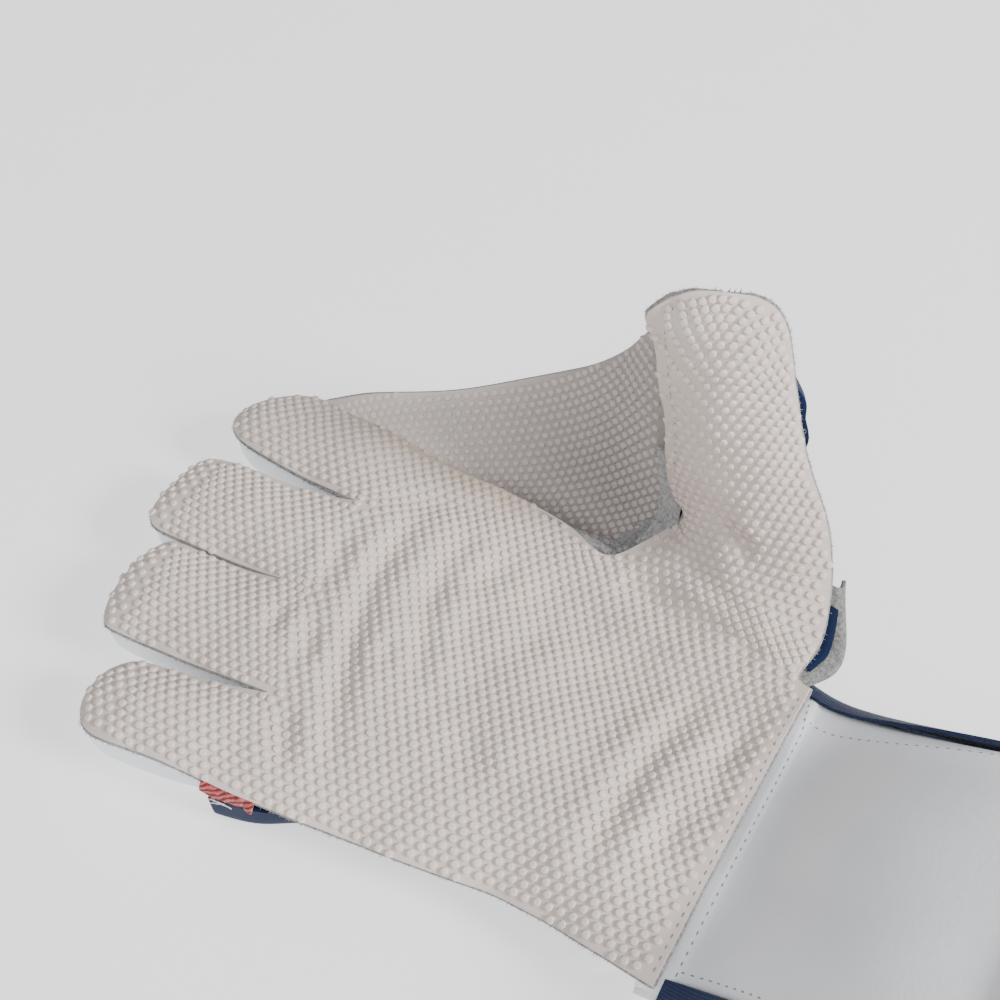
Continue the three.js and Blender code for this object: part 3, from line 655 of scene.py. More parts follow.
def gathered(flats):
    """Where each flat place lies on the moulded rubber.

    It is drawn together across the palm, eased over the fingers and bowed over the thumb."""
    x, y = flats[:, 0], flats[:, 1]
    beyond = np.clip(y - 125, 0, 45) ** 2 / 90 + np.maximum(y - 170, 0)
    u, v = np.maximum(x - 60, 0) / 100, (y - 45) / 100
    across_thumb = (34 - 8 * v - 471 * v * v) * u - 56 - 30 * v + 788 * v * v
    along_thumb = (v - 8 + 910 * v * v) * u + 23 + 3 * v - 826 * v * v
    across = 1.27 * x + 0.25 * y - 0.12 * beyond + u * u * across_thumb
    along = 1.03 * y - 0.12 * x - 0.16 * beyond + u * u * along_thumb
    return np.stack([across, along], 1)


def crossed(a, b):
    """Twice the area between flat directions, row by row."""
    return a[:, 0] * b[:, 1] - a[:, 1] * b[:, 0]


def stud_places(surface, rows, pitch, margin):
    """Where studs stand on the surface: staggered rows on the moulded rubber, clear of the sheet's edges."""
    step = pitch * 3**0.5 / 2
    found = {}
    for corners in ((0, 1, 2), (0, 2, 3)):
        ids = surface.cells[:, corners]
        tri = rows[ids]
        column = np.ceil(tri[:, :, 0].min(1) / step)
        shift = np.where(column % 2 == 0, 0, 0.5)
        row = np.ceil(tri[:, :, 1].min(1) / pitch - shift)
        place = np.stack([column * step, (row + shift) * pitch], 1)
        a, b, c = tri[:, 0], tri[:, 1], tri[:, 2]
        det = crossed(b - a, c - a)
        det = np.where(np.abs(det) < 1e-9, 1e-9, det)
        wb = crossed(place - a, c - a) / det
        wc = crossed(b - a, place - a) / det
        wa = 1 - wb - wc
        for k in np.nonzero((wa > -1e-6) & (wb > -1e-6) & (wc > -1e-6))[0]:
            weights = np.array([wa[k], wb[k], wc[k]])[:, None]
            spot = (surface.points[ids[k]] * weights).sum(0)
            normal = (surface.normals[ids[k]] * weights).sum(0)
            found.setdefault((int(column[k]), int(row[k])), (spot, normal / np.linalg.norm(normal)))
    spots = np.array([v[0] for v in found.values()])
    normals = np.array([v[1] for v in found.values()])
    edge = surface.points[np.unique(surface.rim())]
    clear = np.array([np.min(np.sum((edge - p) ** 2, axis=1)) for p in spots]) > margin**2
    clear &= spots[:, 1] > seam_line(spots[:, 0] / WRIST_WIDTH + 0.5) + WRIST_CLEAR
    return spots[clear], normals[clear]


def studs(name, surface, rows, pitch, radius, height, material, seed, sides=7):
    """Low round studs with flat tops, as one joined mesh."""
    spots, normals = stud_places(surface, rows, pitch, radius * 0.75)
    rng = np.random.default_rng(seed)
    profile = [(1.06, -0.15), (1.0, 0.6), (0.9, 0.92), (0.62, 1)]
    side = np.cross(normals, vec(0.3, 1, 0.1))
    side /= np.linalg.norm(side, axis=1, keepdims=True)
    other = np.cross(normals, side)
    size = radius * rng.normal(1, 0.03, len(spots))
    rise = height * rng.normal(1, 0.08, len(spots))
    rings = []
    for r, h in profile:
        for k in range(sides):
            angle = 2 * math.pi * k / sides
            around = side * math.cos(angle) + other * math.sin(angle)
            rings.append(spots + around * (r * size)[:, None] + normals * (h * rise)[:, None])
    rings.append(spots + normals * rise[:, None])
    points = np.stack(rings, 1)
    per = points.shape[1]
    pattern = []
    for level in range(len(profile) - 1):
        for k in range(sides):
            n = (k + 1) % sides
            low, high = level * sides, (level + 1) * sides
            pattern.append((low + k, low + n, high + n, high + k))
    top = (len(profile) - 1) * sides
    caps = [(top + k, top + (k + 1) % sides, per - 1) for k in range(sides)]
    faces = [tuple(base + q for q in f) for base in range(0, len(spots) * per, per) for f in pattern + caps]
    return build(name, points.reshape(-1, 3), faces, [material])


palm_studs = studs("palm_studs", palm, gathered(palm.flats), PITCH, STUD_RADIUS, STUD_HEIGHT, rubber, 5)


corners = palm.flats[palm.cells]
palm_area = np.abs(crossed(corners[:, 2] - corners[:, 0], corners[:, 3] - corners[:, 1])).sum() / 2e6

# The web: a second sheet of the same rubber, slung between the index finger and the thumb to stop
# the ball. It sags like a hammock and rises to the thumb.
WEB_EDGE = dict(
    out=[0.7, 0.78, 0.96, 1.15, 1.22, 1.1, 0.95],
    along=[1.385, 1.25, 1.1, 0.96, 0.8, 0.68, 0.6],
    up=[0.165, 0.25, 0.27, 0.32, 0.44, 0.64, 0.8],
)
WEB_SLACK, WEB_CELLS, WEB_FOOT, WEB_SEAM = 23, 12, 0.13, 0.01
BESIDE_PALM, BELOW_PALM, BESIDE_THUMB, BEHIND_THUMB = -0.8, 0.3, 2.6, 5
ON_PALM, ON_FINGER = 0.42, 0.78
WEB_ON_THUMB = 0.07, 0.76
WEB_PITCH, WEB_STUD_RADIUS, WEB_STUD_HEIGHT = 3.45, 1.22, 0.9
web_sizes = dict(out=THUMB_REACH, along=PALM_LENGTH, up=THUMB_HEIGHT)
web_free = [curve(np.linspace(0, 1, 7), np.array(WEB_EDGE[k]) * size) for k, size in web_sizes.items()]


def web_index_side(a):
    """The web's side along the palm's edge and, beyond its root, along the index finger's."""
    s = lerp(row_share(THUMB_LAST) + WEB_SEAM, 1, min(1, a / ON_PALM))
    beyond = (a - ON_PALM) / (1 - ON_PALM)
    edge = palm_point(1, s) if beyond < 0 else finger_point(3, 1, ON_FINGER * beyond)
    return edge + vec(BESIDE_PALM, 0, -BELOW_PALM)


def web_thumb_side(a, beside=BESIDE_THUMB, behind=BEHIND_THUMB):
    middle, across, face, half, _, _ = thumb_frame(lerp(*WEB_ON_THUMB, a))
    return middle + across * (half + beside) - face * behind


def web_point(a, b):
    free = vec(*(f(b) for f in web_free))
    ends = lerp(vec(*(f(0) for f in web_free)), web_thumb_side(1), b)
    p = lerp(web_index_side(a), web_thumb_side(a), b) + (free - ends) * a**1.5
    sag = WEB_SLACK * 4 * b * (1 - b) * max(0, math.sin(math.pi * min(1, a * 1.05))) ** 0.8
    p[2] = max(p[2] - sag, REST + RUBBER)
    return p


# The web is the palm's rubber painted paler: painted light against the thumb's shadow it lies in. Its ground
# between the studs is painted darker, as painted shade between the studs, and both take painted shade towards the
# crotch.
pale, warm, shade = (0.84, 0.76, 0.715), (0.86, 0.79, 0.74), (0.78, 0.71, 0.67)
web_rubber = rubber_finish("web_pimple_rubber_painted_light_and_shade", pale, warm, shade, painted_crotch_shade=0.47)
pale, warm, shade = (0.77, 0.685, 0.64), (0.8, 0.72, 0.67), (0.71, 0.64, 0.6)
web_ground_painted_light_and_shade = rubber_finish("web_ground_rubber", pale, warm, shade, painted_crotch_shade=0.78)
web_shares = [lerp(WEB_FOOT + WEB_SEAM, 1, j / WEB_CELLS) for j in range(WEB_CELLS + 1)]
lines = [[web_point(a, i / WEB_CELLS) for i in range(WEB_CELLS + 1)] for a in web_shares]
web = Sheet().grid(lines, [[(-(0.8 * p[0] + 0.6 * p[2]), p[1]) for p in line] for line in lines]).smooth(3)
web.cells = web.cells[:, ::-1]
web.update()
web.lift(waves(web.flats, 11, 26, 0.3))
web_piece = thicken("web_rubber_sheet", web, -RUBBER, 0, [web_ground_painted_light_and_shade, fleece], layers=4, edge=0.2, lip=0.3)
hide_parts("web")
web_rows = web.flats @ np.array([[0.914, -0.561], [0.484, 1.077]])
web_studs = studs("web_studs", web, web_rows, WEB_PITCH, WEB_STUD_RADIUS, WEB_STUD_HEIGHT, web_rubber, 7)

# The crotch patch: a crescent of grey suede sewn in at the foot of the web, where the rubber would split.
suede = felt_finish("grey_suede", (0.47, 0.47, 0.46), (0.26, 0.26, 0.26))


def crotch_point(a, b):
    """The suede runs from under the palm's edge, at b = 0, to under the thumb's, at b = 1."""
    s = lerp(row_share(THUMB_LAST) + WEB_SEAM, 1, a / ON_PALM)
    start = palm_point(1, s) + vec(-4, -1, -RUBBER - 2.4)
    end = web_thumb_side(a, -9, RUBBER + 0.4)
    mid = web_point(max(a, 0), b) + vec(0, 0, 0.6)
    near = min(1, 4 * b * (1 - b) * 1.6)
    return lerp(lerp(start, end, b), mid, near)


CROTCH_START, CROTCH_LAP, CROTCH_ROWS, CROTCH_COLUMNS = -0.09, 0.05, 7, 15
lines = []
for j in range(CROTCH_ROWS):
    a = lerp(CROTCH_START, WEB_FOOT + CROTCH_LAP, j / (CROTCH_ROWS - 1))
    lines.append([crotch_point(a, i / (CROTCH_COLUMNS - 1)) for i in range(CROTCH_COLUMNS)])
flats = [[(5 * i, 5 * j) for i in range(CROTCH_COLUMNS)] for j in range(CROTCH_ROWS)]
crotch = Sheet().grid(lines, flats).smooth(3)
crotch.cells = crotch.cells[:, ::-1]
crotch.update()
crotch.lift(waves(crotch.flats, 21, 18, 0.9) + waves(crotch.flats, 22, 8, 0.6))
crotch_patch = thicken("crotch_suede", crotch, -SUEDE, 0, [suede, suede], edge=0.2)
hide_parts("crotch_patch")

# The thumb strip: a narrow band of the same suede that covers the join of web and thumb from the crotch up.
STRIP_WALL, STRIP_ROWS = 0.8, 19
lines = []
for a in np.linspace(-0.05, 0.46, STRIP_ROWS):
    outer, inner = web_thumb_side(a, 3.4, 3), web_thumb_side(a, -5, RUBBER + 0.4)
    lines.append([lerp(outer, inner, j / 3) for j in range(4)])
strip = Sheet().grid(lines, [[(3 * j, 4 * i) for j in range(4)] for i in range(STRIP_ROWS)]).smooth(3)
strip.lift(waves(strip.flats, 23, 7, 0.35))
thumb_strip = thicken("thumb_suede_strip", strip, -STRIP_WALL, 0, [suede, suede], edge=0.2)

# The finger backs: white padded leather, each a long cap that closes round the fingertip and is sewn
# under the edge of the palm face.
RIM_INSET, RIM_DROP = 0.7, 1
BOXINESS, ROOT_BOXINESS, FLAT_SHARE = 0.55, 0.85, 0.94
KNUCKLE_LAP, TROUGH_CELLS = 6, 12


def signed_power(x, n):
    return math.copysign(abs(x) ** n, x)


def bowl(angle, power):
    return min(1, max(0, math.sin(angle)) ** power / FLAT_SHARE)


def finger_back_sheet(n):
    length = FINGERS[n]["reach"] * FINGER_LENGTH
    last = 1 - RIM_INSET / length
    bottom = REST + LEATHER + GAP
    lines = []
    for i in range(TROUGH_CELLS + 1):
        angle, line = math.pi * i / TROUGH_CELLS, []
        for share in tip_shares(8, FINGERS[n]["round"], 4):
            t = share * last
            power = lerp(ROOT_BOXINESS, BOXINESS, ease(t / ROOT_BLEND))
            w = -signed_power(math.cos(angle), power)
            tuck = 1 - ease(t * length / KNUCKLE_LAP - 1.2)
            p = finger_point(n, w, t, RIM_INSET + tuck * (LEATHER + 5 * GAP))
            drop = RIM_DROP * (1 + 2 * (1 - ease(t / ROOT_BLEND)))
            rim = finger_point(n, math.copysign(1, w), t)[2] - UNDER - drop
            depth = bowl(angle, power) * rounded(share, FINGERS[n]["round"], TIP_POWER) ** 0.8
            p[2] = lerp(rim, bottom, depth)
            p[1] += GAP if share == 0 else 0
            line.append(p)
        lines.append(line)
    flats = [[(i * 5, p[1]) for p in line] for i, line in enumerate(lines)]
    return Sheet().grid(lines, flats).smooth(2)


def leather_finish(name, pale, shade, low, high, gloss):
    """Smooth coated leather: fine pebble grain, slow shading and light creases."""
    m = Finish(name, Specular_IOR_Level=gloss)
    pebbles = m.cells(1300, feature="SMOOTH_F1")
    clouds = m.noise(22, 3)
    creases = m.noise(90, 4, roughness=0.6)
    pores = m.noise(2400, 2)
    colour = m.mix(clouds.over(0.35, 0.7), pale, shade)
    colour = m.mix((1 - pebbles).over(0.75, 1) * 0.15, colour, shade)
    height = pebbles * -0.25 + creases * 1.6 + pores * 0.15
    return m.finish(colour, creases * (high - low) + low, height, 0.00025, 0.55)


white_leather = leather_finish("white_leather", (0.9, 0.915, 0.935), (0.82, 0.845, 0.88), 0.34, 0.5, 0.5)
for n, f in enumerate(FINGERS):
    name, surface = f["name"] + "_finger_back", finger_back_sheet(n)
    back = thicken(name, surface, LEATHER, 0, [white_leather, white_leather], edge=0.2)
    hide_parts(f["name"] + "_back")

# The back of the hand: navy padded leather from the wrist to the knuckles. It laps over the roots of
# the finger backs, and is open at the side where the thumb grows out.
HAND_BOXINESS, KNUCKLE_BOXINESS = 0.72, 0.3
OVERHANG, KNUCKLE_BULGE = 4.5, 2.3
HAND_CELLS, SIDE_CELLS, CUFF_TUCK = 16, 4, 5


def knuckle_at(s):
    return ease((s - 0.8) / 0.17)


def hand_power(s):
    return lerp(HAND_BOXINESS, KNUCKLE_BOXINESS, knuckle_at(s))


def hand_point(i, s):
    angle, power = math.pi * i / HAND_CELLS, hand_power(s)
    u = (1 - signed_power(math.cos(angle), power)) / 2
    flare = max(0, s - 1) * PALM_LENGTH * math.tan(math.radians(FINGERS[0]["splay"]))
    left = -side_out("little", s) - flare + lerp(OVERHANG, -KNUCKLE_BULGE, knuckle_at(s))
    right = side_out("thumb", s) - RIM_INSET
    rim = lerp(palm_point(0, s)[2], palm_point(1, s)[2], u) - UNDER - RIM_DROP
    return vec(lerp(left, right, u), lerp(seam_line(u), root_line(u), s), lerp(rim, REST, bowl(angle, power)))


hand_start = (CUFF_TUCK + 3 * GAP) / (LITTLE_ALONG * PALM_LENGTH)
hand_shares = [max(row_share(j), hand_start) for j in range(PALM_ROWS)] + [1, 1 + KNUCKLE_LAP / PALM_LENGTH]


def hand_back_sheet():
    sheet = Sheet()
    corner, last = HAND_CELLS - SIDE_CELLS, len(hand_shares) - 1
    for i0, i1, j0, j1 in ((0, corner, 0, last), (corner, HAND_CELLS, THUMB_LAST, last)):
        lines = [[hand_point(i, hand_shares[j]) for j in range(j0, j1 + 1)] for i in range(i0, i1 + 1)]
        sheet.grid(lines, [[p[:2] for p in line] for line in lines])
    return sheet.smooth(2)


navy = leather_finish("navy_leather", (0.01, 0.022, 0.07), (0.006, 0.014, 0.045), 0.5, 0.66, 0.12)
hand_surface = hand_back_sheet()
hand_back = thicken("navy_hand_back", hand_surface, LEATHER, 0, [navy, navy], edge=0.2)
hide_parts("hand_back")

# The knuckle band: a short strip of ribbed coral cloth sewn on the knuckle, just under the palm's edge.
TRIM, TRIM_START, TRIM_END, TRIM_ON_HAND = 1.2, 0.94, 0.16, 0.55
# Each row of the band stands so far out from the palm's edge and so far below it.
TRIM_PROFILE = [(-0.6, 1), (0.4, 1.3), (0.9, 2), (1.1, 2.9)]


def trim_finish():
    m = Finish("coral_band", Specular_IOR_Level=0.2, Sheen_Weight=0.3)
    wave = dict(Vector=m.place, Scale=230.0, Distortion=7.0, Detail=3.0)
    ribs = m.node("ShaderNodeTexWave", dict(bands_direction="DIAGONAL"), out="Fac", **wave)
    threads = m.noise(1500, 3)
    colour = m.mix(ribs.over(0.2, 0.7), (0.16, 0.02, 0.03), (0.6, 0.1, 0.085))
    colour = m.mix(threads.over(0.6, 0.8) * 0.5, colour, (0.7, 0.4, 0.36))
    return m.finish(colour, threads * 0.2 + 0.7, ribs + threads * 0.6, 0.0006, 0.9)


def knuckle_edge(q):
    """The palm's edge at the knuckle, from the hand at q = 0 to the little finger at q = 1."""
    if q < TRIM_ON_HAND:
        return palm_point(0, lerp(TRIM_START, 1, q / TRIM_ON_HAND))
    return finger_point(0, -1, TRIM_END * (q - TRIM_ON_HAND) / (1 - TRIM_ON_HAND))


coral = trim_finish()
lines = []
for out, down in TRIM_PROFILE:
    lines.append([knuckle_edge(q) + vec(-0.96 * out, -0.28 * out, -down) for q in np.linspace(0, 1, 8)])
trim = Sheet().grid(lines).smooth(3)
trim.lift(waves(trim.points[:, :2], 41, 4, 0.35))
knuckle_trim = thicken("coral_knuckle_band", trim, 0, -TRIM, [coral, coral], edge=0.3)
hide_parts("knuckle_trim")

# The thumb's back: navy leather quilted in rolls, a deep cap that grows out of the side of the hand.
THUMB_BACK_REACH, THUMB_INSET = 0.96, 2
ROLLS, ROLL_DEPTH, THUMB_BACK_ROWS = 5, 0.09, 21
SIDE_ROLLS, SIDE_ROLL_SIZE, SIDE_HOLLOW = (0.58, 0.74), 5.5, 1.6


def side_roll(t, angle):
    """On the cuff's side two of the rolls stand out beside the face, and below them the back draws in."""
    if math.cos(angle) < 0:
        return 0
    first, last = SIDE_ROLLS
    rolls = SIDE_ROLL_SIZE * abs(math.sin(2 * math.pi * (t - first) / (last - first))) if first < t < last else 0
    return rolls - SIDE_HOLLOW * ease((t - 0.1) / 0.1) * ease((first - t) / 0.06)


def thumb_back_point(t, angle, lift=0):
    middle, across, face, half, _, depth = thumb_frame(t * THUMB_BACK_REACH)
    taper = thumb_at["taper"](t * THUMB_BACK_REACH)
    roll = 1 + ROLL_DEPTH * (abs(math.sin(math.pi * ROLLS * t / THUMB_TIP_START)) - 0.5)
    inset = max(0, half - THUMB_INSET) + side_roll(t, angle)
    p = middle - across * signed_power(math.cos(angle), taper) * (inset + lift) - face * (UNDER + GAP)
    p = p - face * max(0, math.sin(angle)) ** taper * (depth * roll + lift)
    p[2] = max(p[2], REST)
    return p


def thumb_back_sheet():
    inside, corner = 2 * GAP, HAND_CELLS - SIDE_CELLS
    first = row_share(THUMB_FIRST)
    down = [hand_point(HAND_CELLS - k, first) + vec(GAP, inside, 0) for k in range(SIDE_CELLS)]
    rows = range(THUMB_FIRST, THUMB_LAST + 1)
    along = [hand_point(corner, row_share(k)) + vec(GAP, 0, 0) for k in rows]
    along[0][1] += inside
    along[-1][1] -= inside
    up = [hand_point(corner + 1 + k, row_share(THUMB_LAST)) + vec(GAP, -inside, 0) for k in range(SIDE_CELLS)]
    root = down + along + up
    cells = len(root) - 1
    shares = tip_shares(THUMB_BACK_ROWS, THUMB_TIP_START, TIP_ROWS)
    lines = [[root[i]] + [thumb_back_point(t, math.pi * i / cells) for t in shares[1:]] for i in range(cells + 1)]
    return Sheet().grid(lines).smooth(2)


thumb_back = thicken("navy_thumb_back", thumb_back_sheet(), -LEATHER, 0, [navy, navy], edge=0.2)
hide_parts("thumb_back")

# The wrist gusset: grey suede over the side of the thumb's root, next to the cuff.
GUSSET_END, GUSSET_CELLS, THUMB_ROOT = 0.24, 6, 0.1
# Each row is how far out from the face's edge, and how far behind its face, the suede stands.
GUSSET_PROFILE = [(-2.5, 0), (3, 0.4), (6.4, 1.6), (7.4, 3.8), (6.6, 6.4), (4.5, 9.2), (2, 12)]
WELT_START, WELT_END, WELT_WALL = 0.045, 0.2, 0.8
WELT_PROFILE = [(-1.2, -0.8), (0.7, -1.1), (2.4, -0.6)]


def gusset_point(t, out, down):
    """A point beside the thumb's root, so far out from the face's edge and so far behind its face."""
    middle, across, face, half, _, _ = thumb_frame(max(t, THUMB_ROOT))
    corner = palm_point(1, row_share(THUMB_FIRST))
    root = lerp(corner, middle - across * half, min(1, t / THUMB_ROOT))
    return root - across * out - face * (UNDER + down)


lines = []
for i in range(GUSSET_CELLS + 1):
    t = lerp(-0.01, GUSSET_END, i / GUSSET_CELLS)
    full = lerp(0.45, 1, ease(t / 0.07)) * (1 - 0.7 * ease((t - 0.12) / 0.12))
    lines.append([gusset_point(t, out * full, down) for out, down in GUSSET_PROFILE])
gusset_suede = felt_finish("gusset_suede", (0.28, 0.28, 0.27), (0.13, 0.13, 0.13))
gusset_surface = Sheet().grid(lines).smooth(3)
gusset = thicken("wrist_suede", gusset_surface, SUEDE, 0, [gusset_suede, gusset_suede], edge=0.2)
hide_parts("wrist_gusset")

# The thumb welt: a narrow navy strip over the suede, close beside the face's edge.
welt_shares = np.linspace(WELT_START, WELT_END, 9)
lines = [[gusset_point(t, out, down) for out, down in WELT_PROFILE] for t in welt_shares]
welt = thicken("navy_thumb_welt", Sheet().grid(lines).smooth(2), WELT_WALL, 0, [navy, navy], edge=0.2)

# The cuff: two halves of white leather that flare from the wrist to the open mouth.
CUFF_LENGTH, CUFF_MOUTH_WIDTH, CUFF_MOUTH_HEIGHT, CUFF_WALL = 95, 132, 74, 2.6
BINDING_WALL, CUFF_CELLS, CUFF_RISE, CUFF_LIFT = 1.2, 32, 0.3, 0.6
BINDING_OUT = 3 * GAP + BINDING_WALL
CUFF_SHARES = [0, 0.07, 0.17, 0.3, 0.46, 0.64, 0.83, 1]
cuff_wide = curve([0, 0.2, 0.5, 0.8, 1], [0, -0.2, 0.2, 0.7, 1])
cuff_tall = curve([0, 0.2, 0.5, 0.8, 1], [0, 0.26, 0.66, 0.9, 1])
# The thumb side is drawn out next to the thumb's root, and eases back towards the mouth.
CUFF_CORNER, CORNER_POWER, CORNER_END, CORNER_UP = 14, 9, 0.8, 0.4
# The hem: how high the leather stands at each distance from the wrist seam.
HEM_PLACES, HEM_HEIGHTS = [-9, -4.2, -3.6, -0.5, 2], [0, 0, 0.7, 0.5, 0]


def cuff_point(turn, t, offset=0):
    """A point of the cuff's outer face; turn goes once round from the thumb side over the palm."""
    angle = 2 * math.pi * turn
    half = lerp(WRIST_WIDTH, CUFF_MOUTH_WIDTH, cuff_wide(t)) / 2 - RIM_INSET + offset
    clear = max(0, t - CUFF_TUCK / CUFF_LENGTH)
    tall = lerp(PALM_HEIGHT - UNDER, CUFF_MOUTH_HEIGHT, cuff_tall(clear))
    x = half * signed_power(math.cos(angle), BOXINESS)
    side = (x / half + 1) / 2
    corner = CUFF_CORNER * max(0, math.cos(angle)) ** CORNER_POWER * (1 - ease(t / CORNER_END))
    y = seam_line(side) + CUFF_TUCK - (CUFF_LENGTH + CUFF_TUCK) * t + CORNER_UP * corner
    middle = REST + BINDING_OUT * min(1, t / CUFF_LIFT) + tall / 2
    under = (palm_point(side, 0)[2] - UNDER - RIM_DROP - middle) / (tall / 2)
    rise = lerp(under, 1, ease(clear / CUFF_RISE)) if math.sin(angle) > 0 else 1 / FLAT_SHARE
    z = middle + (tall / 2 + offset) * max(-1, rise * signed_power(math.sin(angle), BOXINESS))
    return vec(x + corner, y, z)


def cuff_sheet(first, last, shares, offset=0, levels=2):
    turns = [(first + i + 0.5) / CUFF_CELLS for i in range(round(last - first) + 1)]
    lines = [[cuff_point(turn, t, offset) for turn in turns] for t in shares]
    flats = [[(p[0], p[1]) for p in line] for line in lines]
    return Sheet().grid(lines, flats).smooth(levels)


HALF_TURN = CUFF_CELLS // 2
cuff_surface = cuff_sheet(0, HALF_TURN - 1, CUFF_SHARES, levels=3)
from_seam = cuff_surface.points[:, 1] - seam_line(cuff_surface.points[:, 0] / WRIST_WIDTH + 0.5)
hem = np.interp(from_seam, HEM_PLACES, HEM_HEIGHTS)
cuff_surface.lift(-hem - waves(cuff_surface.points[:, :2], 31, 45, 0.5))
whites = [white_leather, white_leather]
cuff_palm = thicken("white_cuff_palm", cuff_surface, CUFF_WALL, 0, whites, edge=0.2)
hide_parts("cuff_palm")
cuff_back_surface = cuff_sheet(HALF_TURN, CUFF_CELLS - 1, CUFF_SHARES)
cuff_back = thicken("white_cuff_back", cuff_back_surface, CUFF_WALL, 0, whites, edge=0.2)
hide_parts("cuff_back")

# The bindings: navy woven tape down both sides of the cuff and round its mouth.


def tape_finish():
    m = Finish("navy_tape", Specular_IOR_Level=0.3, Sheen_Weight=0.1)
    warp = m.node("ShaderNodeTexWave", dict(bands_direction="X"), out="Fac", Vector=m.place, Scale=420.0)
    weft = m.node("ShaderNodeTexWave", dict(bands_direction="Y"), out="Fac", Vector=m.place, Scale=420.0)
    fuzz = m.noise(700, 3)
    colour = m.mix(warp * weft, (0.006, 0.014, 0.05), (0.014, 0.032, 0.1))
    colour = m.mix(fuzz.over(0.55, 0.8) * 0.3, colour, (0.03, 0.05, 0.12))
    return m.finish(colour, fuzz * 0.15 + 0.58, warp * weft + fuzz * 0.4, 0.0003, 0.6)


tape = tape_finish()
side_shares = CUFF_SHARES[1:-2] + [CUFF_SHARES[-2] - 0.02]
SIDE_TAPES, SIDE_TAPE_CELLS = dict(little=12.3, thumb=-2.5), 4
for name, first in SIDE_TAPES.items():
    surface = cuff_sheet(first, first + SIDE_TAPE_CELLS, side_shares, BINDING_OUT)
    band = thicken(f"tape_{name}", surface, BINDING_WALL, 0, [tape, tape], edge=0.15)
    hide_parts("cuff_binding_" + name)
start, inside = CUFF_SHARES[-2], -CUFF_WALL - BINDING_OUT
beyond = 1 + (2 * GAP + BINDING_WALL) / CUFF_LENGTH
profile = [(t, BINDING_OUT) for t in (start, 1, beyond)] + [(t, inside) for t in (beyond, 1, start)]
turns = [(i % CUFF_CELLS + 0.5) / CUFF_CELLS for i in range(CUFF_CELLS + 1)]
lines = [[cuff_point(turn, t, offset) for turn in turns] for t, offset in profile]
mouth = thicken("tape_mouth", Sheet().grid(lines).smooth(2), BINDING_WALL, 0, [tape, tape], edge=0.15)
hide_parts("cuff_mouth_binding")

# The stitching: rows of short thread stitches, sunk a little into what they hold.


def thread_finish(name, light, dark):
    m = Finish(name, Specular_IOR_Level=0.3)
    twist = m.noise(3000, 2)
    return m.finish(m.mix(twist.over(0.4, 0.7), light, dark), twist * 0.2 + 0.55, twist, 0.0002, 0.5)


def tree_of(surface):
    cells = [tuple(int(k) for k in c) for c in surface.cells]
    return BVHTree.FromPolygons([tuple(p) for p in surface.points], cells)


def stitch_row(trees, path, stitch=2.2, gap=1.1, thick=0.32, sink=0.05, out=1):
    """Stitches along a path of points, laid on the nearest of the surfaces. Returns points and faces."""
    path = np.array(path, float)
    run = np.concatenate([[0], np.cumsum(np.linalg.norm(np.diff(path, axis=0), axis=1))])
    points, faces = [], []
    at = gap / 2
    while at + stitch < run[-1]:
        places = (at, at + stitch / 2, at + stitch)
        ends = [np.array([np.interp(q, run, path[:, k]) for k in range(3)]) for q in places]
        hits = [min((tree.find_nearest(Vector(e)) for tree in trees), key=lambda h: h[3]) for e in ends]
        along = np.array(hits[2][0]) - np.array(hits[0][0])
        along /= max(np.linalg.norm(along), 1e-6)
        base = len(points)
        for share, (spot, normal, _, _) in zip((0, 0.5, 1), hits):
            n = np.array(normal) * out
            side = np.cross(along, n)
            size = thick * (0.75 if share != 0.5 else 1)
            rise = -thick * 0.5 if share != 0.5 else thick * 0.35
            for k in range(6):
                angle = math.pi * k / 3
                around = (side * math.cos(angle) + n * math.sin(angle)) * size
                points.append(np.array(spot) + around + n * (rise - sink))
        for level in range(2):
            for k in range(6):
                m = (k + 1) % 6
                low = base + level * 6
                faces.append((low + k, low + m, low + 6 + m, low + 6 + k))
        faces.append(tuple(base + k for k in range(5, -1, -1)))
        faces.append(tuple(base + 12 + k for k in range(6)))
        at += stitch + gap
    return points, faces


def stitching(name, rows, material):
    points, faces = [], []
    for row_points, row_faces in rows:
        faces += [tuple(k + len(points) for k in f) for f in row_faces]
        points += row_points
    return build(name, points, faces, [material])


grey_thread = thread_finish("grey_thread", (0.33, 0.33, 0.34), (0.16, 0.16, 0.17))
palm_tree = tree_of(palm)
cuff_tree = tree_of(cuff_surface)
seam_path = [palm_point(u, 0) + vec(0, 1.3, 0) for u in np.linspace(0.02, 0.98, 60)]
heel = stitch_row([palm_tree], seam_path, 1.5, 1.8, 0.26)
hem_row = [cuff_point(turn, 0.088) for turn in np.linspace(0.05, 0.41, 80)]
little_row = [cuff_point(0.388, t) for t in np.linspace(0.088, 0.8, 60)]
thumb_row = [cuff_point(0.095, t) for t in np.linspace(0.09, 0.8, 60)]
rows = [stitch_row([cuff_tree], row, 1.3, 1.7, 0.24, out=-1) for row in (hem_row, little_row, thumb_row)]
rows.append(stitch_row([palm_tree], thumb_seam, 1.6, 1.4, 0.2))
# Two white threads cross on the knuckle: each end has its place along the edge, and how far out and down.
CROSSING = [((0.95, 1.5, 2.4), (0.35, 2.4, 6)), ((0.8, 2.4, 6.4), (0.42, 2, 3))]
hand_tree = tree_of(hand_surface)
crossing = []
for ends in CROSSING:
    first, last = (knuckle_edge(q) + vec(-out, 0, -down) for q, out, down in ends)
    path = [lerp(first, last, k) for k in np.linspace(0, 1, 12)]
    crossing.append(stitch_row([hand_tree], path, 2.6, 0.05, 0.28))
white_thread = thread_finish("white_thread", (0.8, 0.8, 0.8), (0.5, 0.5, 0.5))
knuckle_threads = stitching("knuckle_threads", crossing, white_thread)
stitches = stitching("seam_stitches", [heel] + rows, grey_thread)

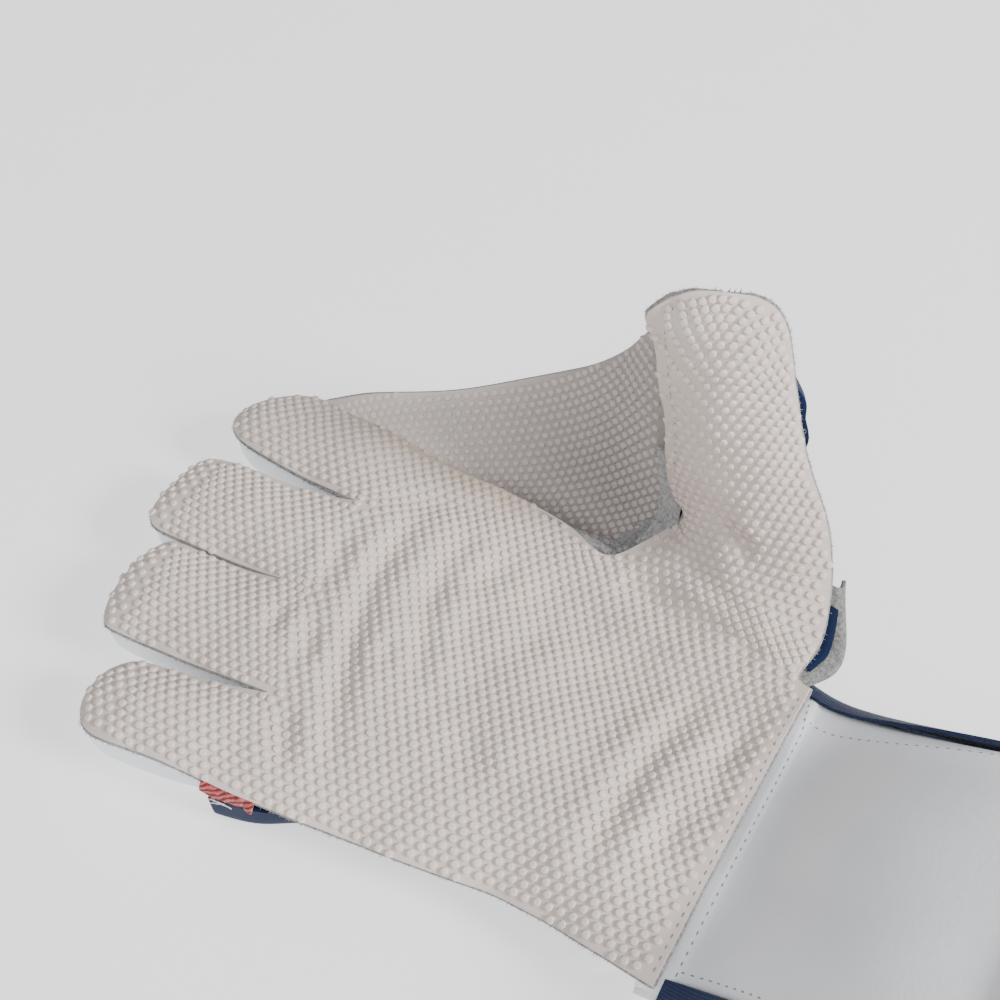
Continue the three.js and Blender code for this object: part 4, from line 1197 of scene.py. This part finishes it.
# The floor and the soft studio light: a pale sweep, a broad light from the upper right and a weak fill.
FLOOR = 3
mesh = bpy.data.meshes.new("floor")
mesh.from_pydata([(x * FLOOR, y * FLOOR, 0) for x, y in ((-1, -1), (1, -1), (1, 1), (-1, 1))], [], [(0, 1, 2, 3)])
floor = bpy.data.objects.new("floor", mesh)
bpy.context.scene.collection.objects.link(floor)
glow = dict(Emission_Color=(0.9, 0.905, 0.91, 1), Emission_Strength=1.2)
paper = Finish("pale_paper", Specular_IOR_Level=0.1, **glow)
grain = paper.noise(40, 2)
grey = paper.mix(grain, (0.5, 0.5, 0.5), (0.52, 0.52, 0.52))
mesh.materials.append(paper.finish(grey, grain * 0.05 + 0.85, grain, 0.0001, 0.1))

world = bpy.data.worlds.new("studio")
bpy.context.scene.world = world
world.use_nodes = True
world.node_tree.nodes["Background"].inputs["Color"].default_value = (0.93, 0.95, 1, 1)
world.node_tree.nodes["Background"].inputs["Strength"].default_value = 0.44


def lamp(name, place, target, size, power, colour):
    data = bpy.data.lights.new(name, "AREA")
    data.shape, data.size, data.energy, data.color = "DISK", size, power, colour
    light = bpy.data.objects.new(name, data)
    bpy.context.scene.collection.objects.link(light)
    light.location = place
    light.rotation_euler = (Vector(target) - Vector(place)).to_track_quat("-Z", "Y").to_euler()


lamp("key", (0.5, -2.1, 1.5), (0, 0, 0.03), 0.8, 104, (1, 0.98, 0.955))
lamp("fill", (-1.4, -0.6, 1.9), (0, 0, 0.03), 1.6, 26, (0.98, 0.985, 1))

# The camera stands at the little finger's side of the cuff and looks down across the palm.
camera = bpy.data.objects.new("camera", bpy.data.cameras.new("camera"))
bpy.context.scene.collection.objects.link(camera)
camera.data.lens, camera.data.sensor_width = 50.4, 36
camera.data.clip_start, camera.data.clip_end = 0.01, 20
EYE, LOOK = vec(-182.0, -57.7, 385.7), (0.5065, 0.3960, -0.7660)
camera.location = (EYE + SEAM) * 0.001
camera.rotation_euler = Vector(LOOK).to_track_quat("-Z", "Y").to_euler()
bpy.context.scene.camera = camera
